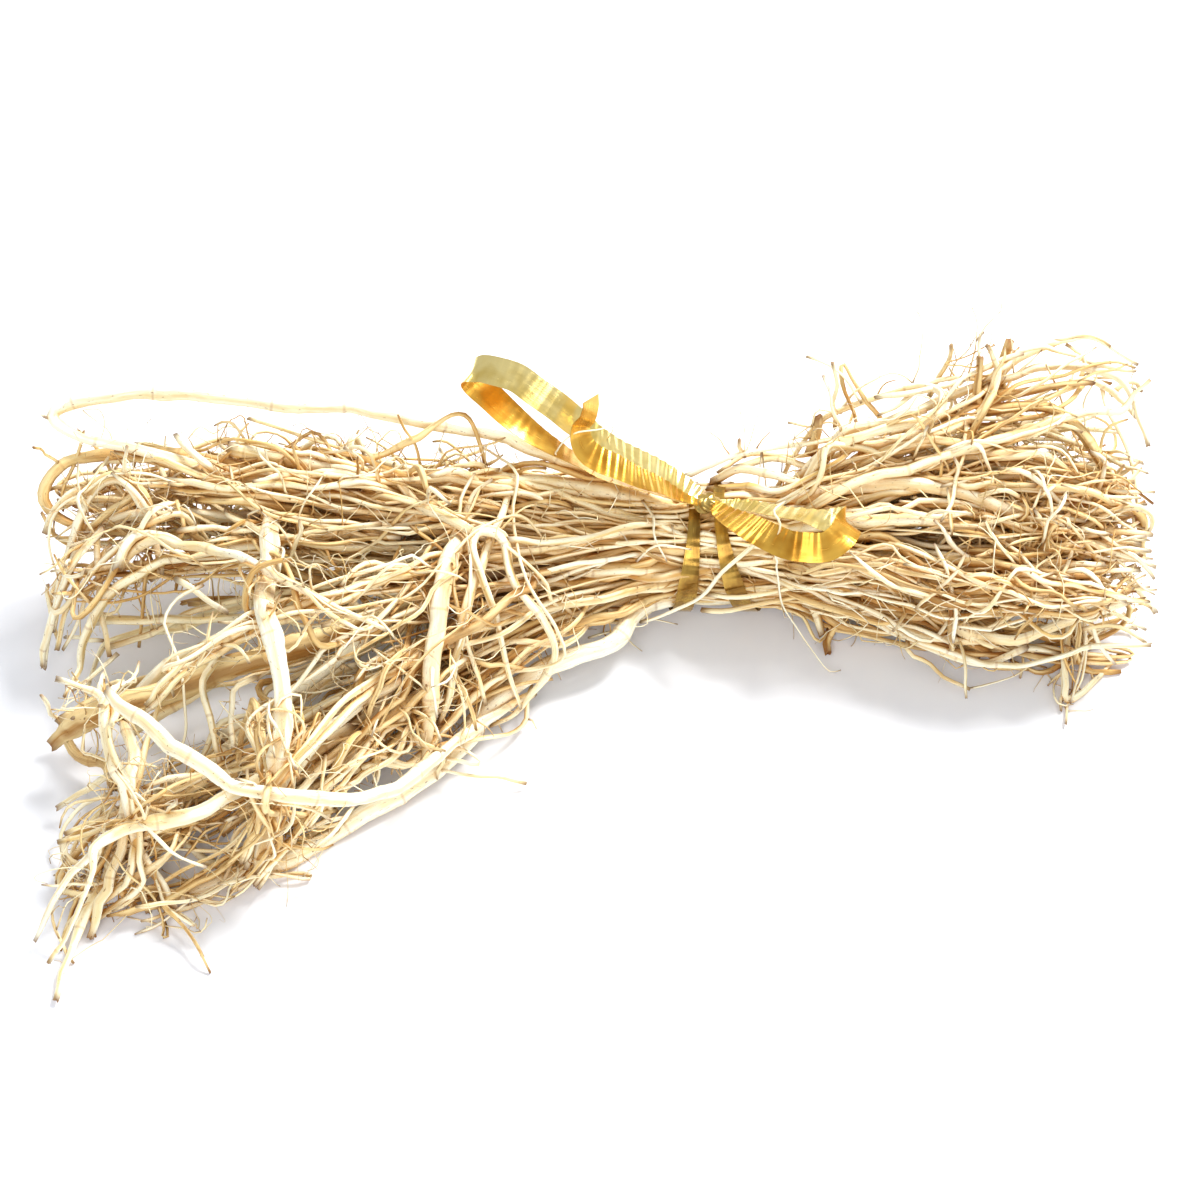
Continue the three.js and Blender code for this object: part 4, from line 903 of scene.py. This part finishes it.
def grain(tree, where, scale, detail=3.0, rough=0.6):
    """Noise in the root's own straightened space: scale is (across, across, along) per mm."""
    stretch = make(tree, "ShaderNodeVectorMath", operation="MULTIPLY")
    tree.links.new(where, stretch.inputs[0])
    stretch.inputs[1].default_value = scale
    noise = make(tree, "ShaderNodeTexNoise", Scale=1.0, Detail=detail, Roughness=rough)
    tree.links.new(stretch.outputs[0], noise.inputs["Vector"])
    return noise.outputs["Fac"]


def add_bump(tree, shader, height, strength, depth):
    bump = make(tree, "ShaderNodeBump", Strength=strength, Distance=depth)
    tree.links.new(height, bump.inputs["Height"])
    tree.links.new(bump.outputs[0], shader.inputs["Normal"])


def root_material(name, pale, body, deep):
    """Dry root: straw with lengthwise fibres, brown scars and brown ends; ridges pale as worn and as
    painted highlight, and painted shade in grooves, crevices and the deep of the bunch.
    """
    material, tree, shader = new_material(name)
    where = make(tree, "ShaderNodeAttribute", attribute_name="straight").outputs["Vector"]
    tone, scar, wear, relief, painted_shade = (
        make(tree, "ShaderNodeAttribute", attribute_name=fact).outputs["Fac"]
        for fact in ("tone", "scar", "wear", "relief", "painted_shade"))
    fibres = grain(tree, where, (2.4, 2.4, 0.14), 4.0, 0.65)
    patches = grain(tree, where, (0.4, 0.4, 0.08), 2.0)
    flecks = grain(tree, where, (3.0, 3.0, 1.1), 2.0)
    colour = ramp(tree, tone, (0.0, linear(pale)), (0.4, linear(body)), (0.75, linear(body)),
                  (1.0, linear(deep)))
    # Painted shade in the grooves: the negated relief marks where they are.
    groove_shade = make(tree, "ShaderNodeMath", operation="MULTIPLY")
    tree.links.new(relief, groove_shade.inputs[0])
    groove_shade.inputs[1].default_value = -1.0
    layers = (
        (fibres, (0.36, 0.75), (0.56, 0.0), deep),
        (patches, (0.46, 0.0), (0.6, 0.8), pale),
        (patches, (0.30, 0.65), (0.4, 0.0), deep),
        # Ridges turn pale, as worn and as painted highlight; grooves turn deep, painted shade.
        (relief, (0.0, 0.0), (0.16, 0.6), pale),
        (groove_shade.outputs[0], (0.02, 0.0), (0.18, 0.7), deep),
        (flecks, (0.27, 0.7), (0.35, 0.0), "#7A4A1C"),
        (scar, (0.10, 0.35), (0.35, 0.0), "#B08048"),
        (wear, (0.25, 0.0), (1.0, 0.75), "#7A4A1E"),
    )
    for fact, start, end, tint in layers:
        colour = blend(tree, ramp(tree, fact, start, end), colour, linear(tint))
    # Painted shade: where ambient occlusion finds roots within 5 mm, the colour is multiplied towards
    # golden brown, darkening creases and gaps between roots.
    crevice = make(tree, "ShaderNodeAmbientOcclusion", Distance=0.005, samples=4)
    crevice_shade_colour = blend(tree, 1.0, colour, linear("#DEAC4C"), "MULTIPLY")
    colour = blend(tree, ramp(tree, crevice.outputs["AO"], (0.1, 0.95), (0.72, 0.0)), colour, crevice_shade_colour)
    # Painted shade: the colour is multiplied towards dark brown as the strand's painted shade rises, for
    # the shade deep in the bunch.
    inner = blend(tree, 1.0, colour, linear("#9C621E"), "MULTIPLY")
    colour = blend(tree, ramp(tree, painted_shade, (0.1, 0.0), (1.0, 0.95)), colour, inner)
    tree.links.new(colour, shader.inputs["Base Color"])
    shader.inputs["Roughness"].default_value = 0.62
    shader.inputs["Specular IOR Level"].default_value = 0.35
    add_bump(tree, shader, fibres, 0.6, 0.25 * MM)
    return material


def ribbon_material(name, outer, outer_deep, inner, inner_deep):
    """Metallised film, rubbed along the ribbon: its two sides have tints of their own."""
    material, tree, shader = new_material(name)
    where = make(tree, "ShaderNodeAttribute", attribute_name="straight").outputs["Vector"]
    rub = grain(tree, where, (2.2, 2.2, 0.25), 3.0)
    cloud = grain(tree, where, (0.2, 0.2, 0.16), 2.0)
    axes = make(tree, "ShaderNodeSeparateXYZ")
    tree.links.new(where, axes.inputs[0])
    front = ramp(tree, cloud, (0.38, linear(outer)), (0.62, linear(outer_deep)))
    back = ramp(tree, cloud, (0.38, linear(inner)), (0.62, linear(inner_deep)))
    tree.links.new(blend(tree, axes.outputs["Y"], front, back), shader.inputs["Base Color"])
    shader.inputs["Metallic"].default_value = 0.7
    gloss = ramp(tree, rub, (0.3, 0.16), (0.7, 0.28))
    tree.links.new(gloss, shader.inputs["Roughness"])
    add_bump(tree, shader, rub, 0.25, 0.1 * MM)
    return material


ROOT_FINISHES = {
    "root_straw": root_material("dry_root_straw", "#FFFBE0", "#FBF0C6", "#DCBC76"),
    "root_tan": root_material("dry_root_tan", "#FDF5D0", "#F3E0A8", "#CA9C54"),
    "root_cream": root_material("dry_root_pale", "#FCF9E2", "#FBF5D6", "#E8CE94"),
    "root_brown": root_material("dry_root_brown", "#F3DEA6", "#DDB56E", "#9A682A"),
}
GOLD = ribbon_material("gold_foil", "#F0DC94", "#D8BC66", "#E6B44A", "#BE8220")
# A darker copy of the gold foil, painted shade for the turns and the knot that lie in shade under the bow
# and the roots.
SHADED_GOLD = ribbon_material("gold_foil_painted_shade", "#CDB268", "#94783A", "#BC9644", "#886222")
SLOT_OF = {row["node"]: row["material_slot"] for row in frame["record"]["subparts"]}


# ---- the ribbon ----

KNOT_BOX = node_box("ribbon_knot")
KNOT_FILL = [0.82, 0.9, 0.95]     # how much of the CAD knot's box the lump fills
VIEW_POINT = (KNOT_BOX[0] + KNOT_BOX[1]) / 2 - KNOT_FROM_VIEW
RIBBON_WIDTH = 4.8
RIBBON_THICKNESS = 0.12
CRIMP_PITCH = 1.6
CRIMP_DEPTH = 0.13
LANES = 7                         # rows of corners across the ribbon, on each of its sides
TURN_WIDTH = 3.3
TURN_PINCH = 1.5                  # narrower by this much where a turn meets the knot
TURN_INSET = 0.15                 # how far a turn lies inside the CAD band's outer face
TURN_MIDDLE = 1.7                 # from the CAD band's edge to the middle of the strip
TAIL_SLANT = 3.6                  # how far one edge of the tail's cut end runs on beyond the other

# The ribbon's routes from the view point, and which way its width points at each route point.
# Both ends of a loop, and the tail's first end, are inside the knot.
LEFT_LOOP = {
    "route": [[16.5, 2, 24.5], [14.5, 3, 25.5], [11, 3.5, 28], [7.5, 4, 30.5], [3.5, 4.5, 33],
              [-0.5, 4.5, 36], [-4, 5, 39], [-7, 6, 41.5], [-10.5, 7.5, 43.5], [-13.5, 9.5, 44.5],
              [-17, 11, 44.5], [-19.5, 12.5, 43.5], [-21, 13, 42], [-20.5, 13, 40], [-18, 12, 37.5],
              [-15, 10, 35.5], [-12, 8.5, 33.5], [-9, 7.5, 31.5], [-5.5, 6.5, 29.5], [-2.5, 5.5, 28],
              [1.5, 4, 26.5], [8, 3.5, 24.5], [14, 2.5, 23], [16, 2, 23]],
    "wide": [[0.3, 0.95, 0.1], [0.3, 0.95, 0.1], [0.3, 0.95, -0.2], [0.25, 0.9, -0.3],
             [0.2, 0.9, -0.35], [0.35, 0.95, -0.1], [0.6, 0.7, 0.35], [0.65, 0.6, 0.5],
             [0.6, 0.6, 0.5], [0.55, 0.65, 0.55], [0.5, 0.65, 0.55], [0.5, 0.65, 0.55],
             [0.55, 0.65, 0.55], [0.55, 0.65, 0.55], [0.55, 0.75, 0.3], [0.55, 0.8, 0.2],
             [0.4, 0.9, 0], [0.3, 0.95, -0.2], [0.2, 0.9, -0.4], [0.1, 0.85, -0.5],
             [0.1, 0.85, -0.55], [0.05, 0.85, -0.5], [0.1, 0.95, -0.35], [0.1, 0.95, -0.35]],
    "gather": 10.0, "pinch": 0.45, "loose": False, "tints": (1, 0),
}
TAIL = {
    "route": [[16.5, 0.5, 24], [14, 0.5, 25.5], [12, -0.5, 28], [9.5, -1.5, 31], [6, -2.5, 34],
              [2.5, -2.5, 36.5], [0, -2.5, 38], [-2, -2, 39.5], [-3, -1, 41], [-3, 0.5, 42.5],
              [-2, 1.5, 43.5], [-1.5, 3, 44.5], [-1.5, 4.5, 45]],
    "wide": [[0.25, 0.95, 0.25], [0.25, 0.95, 0.25], [0.2, 1, -0.05], [0.15, 1, -0.15],
             [0.2, 1, -0.1], [0.25, 0.95, 0.05], [0.3, 0.95, 0.1], [0.5, 0.85, 0.05],
             [0.7, 0.65, -0.3], [0.6, 0.5, -0.6], [0.5, 0.5, -0.7], [0.5, 0.55, -0.7],
             [0.5, 0.55, -0.65]],
    "gather": 14.0, "pinch": 0.25, "loose": True, "tints": (0, 1),
}
RIGHT_LOOP = {
    "route": [[18.5, 0.5, 24], [19, -1.5, 25.5], [20.5, -4, 26.5], [23.5, -7.5, 28],
              [26.5, -11, 29.5], [30, -14, 30.5], [33, -15, 31], [36, -15, 31], [38, -13.5, 31],
              [39.5, -11, 30.5], [40, -8.5, 29.5], [39, -7, 28.5], [36.5, -6, 27.5],
              [33, -4.5, 27], [29.5, -3.5, 26.5], [25.5, -1.5, 25.5], [22, 0, 24.5], [19.5, 0.5, 24]],
    "wide": [[0.45, 0.9, 0.15], [0.45, 0.9, 0.15], [0.35, 0.95, -0.1], [0.4, 0.95, 0],
             [0.4, 0.85, 0.3], [0.25, 0.75, 0.6], [0.05, 0.75, 0.65], [-0.15, 0.75, 0.65],
             [-0.35, 0.85, 0.4], [-0.5, 0.85, 0.1], [-0.5, 0.85, -0.05], [-0.4, 0.95, 0],
             [-0.1, 1, -0.1], [0, 0.9, -0.4], [0, 0.9, -0.45], [0.05, 0.95, -0.35],
             [0.15, 1, -0.05], [0.15, 1, -0.05]],
    "gather": 12.0, "pinch": 0.35, "loose": False, "tints": (1, 0),
}


def sharpen(piece, rim):
    """Marks every edge between two rim corners as a sharp one."""
    edges = piece.data.edges
    ends = np.empty(2 * len(edges), np.int32)
    edges.foreach_get("vertices", ends)
    sharp = rim[ends].reshape(-1, 2).all(1)
    piece.data.attributes.new("sharp_edge", "BOOLEAN", "EDGE").data.foreach_set("value", sharp)


def strip(name, centres, wide, widths, crimp, cut, material, tints=(0, 1)):
    """A thin closed strip: its middle line, its width's direction and size, its crimps, how far one
    edge runs on beyond the other at a slanting cut, and the tint of each side."""
    ahead = directions(centres)
    wide = wide - (wide * ahead).sum(1, keepdims=True) * ahead
    wide /= np.linalg.norm(wide, axis=1, keepdims=True)
    up = np.cross(ahead, wide)
    along = distances_along(centres)
    lanes = np.linspace(-0.5, 0.5, LANES)
    wave = np.sin(2 * math.pi * along / CRIMP_PITCH + 0.8 * np.sin(along / 2.9)) * crimp * CRIMP_DEPTH
    sheet = centres[:, None, :] + wide[:, None, :] * (lanes[None, :] * widths[:, None])[:, :, None]
    sheet = sheet + up[:, None, :] * (wave[:, None] * (0.6 + 0.8 * lanes[None, :]))[:, :, None]
    sheet = sheet + ahead[:, None, :] * (cut[:, None] * lanes[None, :])[:, :, None]
    half = up[:, None, :] * RIBBON_THICKNESS / 2
    rows = np.concatenate([sheet + half, (sheet - half)[:, ::-1]], axis=1)
    count, sides = rows.shape[:2]
    caps = []
    for row, turned in ((0, False), (count - 1, True)):
        for i in range(LANES - 1):
            corner = np.array([i, i + 1, sides - 2 - i, sides - 1 - i]) + row * sides
            caps.append(corner[::-1] if turned else corner)
    straight = np.stack([
        np.tile(np.concatenate([lanes, lanes[::-1]]), (count, 1)) * RIBBON_WIDTH,
        np.tile(np.repeat(np.array(tints, float), LANES), (count, 1)),
        np.repeat(along[:, None], sides, 1)], 2)
    facts = {"straight": straight.reshape(-1, 3)}
    quads = np.vstack([grid_quads(count, sides)[:, ::-1], caps])
    piece = add_mesh(name, rows.reshape(-1, 3), quads, np.empty((0, 3), int), facts, material)
    rim = np.zeros((count, sides), bool)
    rim[:, [0, LANES - 1, LANES, sides - 1]] = True
    rim[[0, -1]] = True
    sharpen(piece, rim.ravel())
    return piece


def bow_piece(name, spec):
    route, part = resample(np.array(spec["route"], float) + VIEW_POINT, 0.14)
    ways = np.array(spec["wide"], float)
    wide = np.stack([np.interp(part, np.linspace(0, 1, len(ways)), ways[:, k]) for k in range(3)], 1)
    wide = smooth(wide, 60)
    total = length_of(route)
    from_knot = total * (part if spec["loose"] else np.minimum(part, 1 - part))
    flat = eased(np.clip(from_knot / spec["gather"], 0, 1))
    crimp = np.clip(1.3 - from_knot / 22, 0.15, 1)
    cut = np.zeros(len(route))
    if spec["loose"]:
        cut = TAIL_SLANT * np.clip(1 - (total - from_knot) / 4, 0, 1)
    widths = RIBBON_WIDTH * (spec["pinch"] + (1 - spec["pinch"]) * flat)
    return strip(name, route, wide, widths, crimp, cut, GOLD, spec["tints"])


def turn_piece(name, node):
    """One turn round the waist, just inside the CAD band's outer face."""
    low, high = node_box(node)
    angle = np.linspace(0, 2 * math.pi, 360)
    radius = (high[1] - low[1]) / 2 - TURN_INSET
    y = TIE["y"] + radius * np.sin(angle)
    z = np.maximum(high[2] - TURN_INSET - radius + radius * np.cos(angle), RIBBON_THICKNESS)
    down = (1 - np.cos(angle)) / 2
    top, bottom = low[0] + TURN_MIDDLE, high[0] - TURN_MIDDLE
    if node == "ribbon_turn_left":
        top, bottom = bottom, top
    x = top + (bottom - top) * down
    centres = np.stack([x, y, z], 1)
    wide = np.tile([1.0, 0.0, 0.0], (len(centres), 1))
    widths = TURN_WIDTH - TURN_PINCH * np.clip(1 - down * 2.6, 0, 1)
    crimp = np.full(len(centres), 0.25)
    # The turns take the darker gold: painted shade.
    return strip(name, centres, wide, widths, crimp, np.zeros(len(centres)), SHADED_GOLD)


def knot_piece():
    """The knot: the ribbon's short pass over the crossing, pulled tight, with folds."""
    low, high = KNOT_BOX
    centre = (low + high) / 2
    half = (high - low) / 2 * KNOT_FILL
    rows, sides = 40, 48
    places = []
    for k in range(1, rows):
        lift = math.pi * k / rows
        for i in range(sides):
            turn = 2 * math.pi * i / sides
            fold = 1 + 0.12 * math.sin(4 * turn + 5 * math.cos(lift)) * math.sin(lift)
            way = np.array([math.sin(lift) * math.cos(turn), math.sin(lift) * math.sin(turn),
                            math.cos(lift)])
            places.append(centre + half * fold * np.sign(way) * np.abs(way) ** 0.85)
    places += [centre + [0, 0, half[2]], centre - [0, 0, half[2]]]
    places = np.array(places)
    quads = grid_quads(rows - 1, sides)[:, [0, 3, 2, 1]]
    fans = end_fans(rows - 1, sides)[:, [0, 2, 1]]
    # The knot takes the darker gold: painted shade.
    return add_mesh("gold_knot", places, quads, fans, {"straight": places - centre}, SHADED_GOLD)


def place(piece, slot, *nodes):
    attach(piece, "root")
    if nodes:
        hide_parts(*nodes)


def build_ribbon():
    for part, spec in (("left_loop", LEFT_LOOP), ("right_loop", RIGHT_LOOP), ("tail", TAIL)):
        place(bow_piece("gold_" + part, spec), "ribbon_gold", "ribbon_" + part)
    for turn in ("turn_left", "turn_right"):
        place(turn_piece("gold_" + turn, "ribbon_" + turn), "ribbon_gold", "ribbon_" + turn)
    place(knot_piece(), "ribbon_gold", "ribbon_knot")


# ---- the roots ----

def place_strands(name, strands, slot, *nodes):
    """The strands, each with its hairs, as one piece."""
    own = [item for strand in strands for item in (strand, *strand.hairs)]
    place(strands_piece(name, own, ROOT_FINISHES[slot]), slot, *nodes)


def build_roots():
    thick = cad_strands()
    placed = placed_strands()
    guides = [strand for strands in thick.values() for strand in strands]
    extra = [strand for strands in placed.values() for strand in strands]
    kept = crowded(guides)
    flow = Flow(guides, kept)
    fine = fine_roots(flow, guides, kept)
    relax(guides + extra, fine, 8)
    for strand in fine:
        strand.points = crooked(strand.points, STEP["fine"], CROOK["fine"])
    parents = guides + extra + fine
    shade_strands(parents)
    weights = np.array([
        s.reach() * (0.4 + abs(s.points[:, 0].mean() - TIE["x"]) / 50) * (1.15 - s.painted_shade.mean())
        for s in parents])
    weights *= [0.3 if k < len(guides) and kept[k].mean() < 0.5 else 1.0 for k in range(len(parents))]
    first = rootlets(flow, parents, ROOTLETS, "rootlet", (0.10, 0.22), 10, weights)
    hairs = [hair for _, hair in first]
    second = rootlets(flow, hairs, SPURS, "spur", (0.07, 0.12), 3.6, np.array([h.reach() for h in hairs]))
    for number, hair in first:
        parents[number].hairs.append(hair)
    for number, hair in second:
        parents[first[number][0]].hairs.append(hair)

    for name, strands in thick.items():
        place_strands(name + "_grown", strands, SLOT_OF[name], name)
    for group, (slot, strands) in enumerate(placed.items()):
        place_strands(f"placed_roots_{group + 1:02d}", strands, slot)
    slots = list(ROOT_FINISHES)
    for group in range(FINE_PIECES):
        slot = slots[group % len(slots)]
        place_strands(f"fine_roots_{group + 1:02d}", fine[group::FINE_PIECES], slot)


# ---- stage, light and camera ----

def floor():
    mesh = bpy.data.meshes.new("floor")
    size = 3.0
    mesh.from_pydata([(-size, -size, 0), (size, -size, 0), (size, size, 0), (-size, size, 0)], [],
                     [(0, 1, 2, 3)])
    material, _, shader = new_material("white_cloth")
    shader.inputs["Base Color"].default_value = linear("#EFF2F9")
    shader.inputs["Roughness"].default_value = 0.9
    mesh.materials.append(material)
    plane = add_object("floor", mesh)


def area_light(name, place_mm, target, size, power, colour):
    data = bpy.data.lights.new(name, "AREA")
    data.shape = "SQUARE"
    data.size = size * MM
    data.energy = power
    data.color = colour
    light = add_object(name, data)
    light.location = Vector(place_mm) * MM
    aim = Vector(target) * MM - light.location
    light.rotation_euler = aim.to_track_quat("-Z", "Y").to_euler()


# Where each light stands from the point it is aimed at and its size, in mm, its power in watts and
# its colour.
LIGHTS = {
    "key": ([420, 380, 760], 300, 14.4, (1.0, 0.985, 0.95)),
    "fill": ([-150, -700, 560], 500, 4.0, (1.0, 0.99, 0.97)),
    "card": ([420, -630, 260], 260, 1.2, (1.0, 1.0, 1.0)),
    "rim": ([-480, 700, 430], 340, 2.4, (1.0, 1.0, 1.0)),
}
WORLD_LIGHT = 0.45


def light_scene():
    target = VIEW_POINT + [0, 0, 10]
    for name, (way, size, power, colour) in LIGHTS.items():
        area_light(name, target + way, target, size, power, colour)
    world = bpy.data.worlds.new("studio")
    world.use_nodes = True
    sky = world.node_tree.nodes["Background"]
    sky.inputs["Color"].default_value = (0.92, 0.95, 1.0, 1.0)
    sky.inputs["Strength"].default_value = WORLD_LIGHT
    bpy.context.scene.world = world
    bpy.context.scene.view_settings.view_transform = "Standard"


def add_camera():
    data = bpy.data.cameras.new("camera")
    data.lens = CAMERA_LENS
    data.sensor_width = CAMERA_SENSOR
    data.clip_start = 0.01
    data.clip_end = 20
    camera = add_object("camera", data)
    lift = math.radians(CAMERA_ELEVATION)
    back = np.array([0, -math.cos(lift), math.sin(lift)]) * CAMERA_DISTANCE
    camera.location = Vector(VIEW_POINT + back) * MM
    camera.rotation_euler = (Vector(-back)).to_track_quat("-Z", "Y").to_euler()
    bpy.context.scene.camera = camera


add_camera()
build_ribbon()
build_roots()
floor()
light_scene()
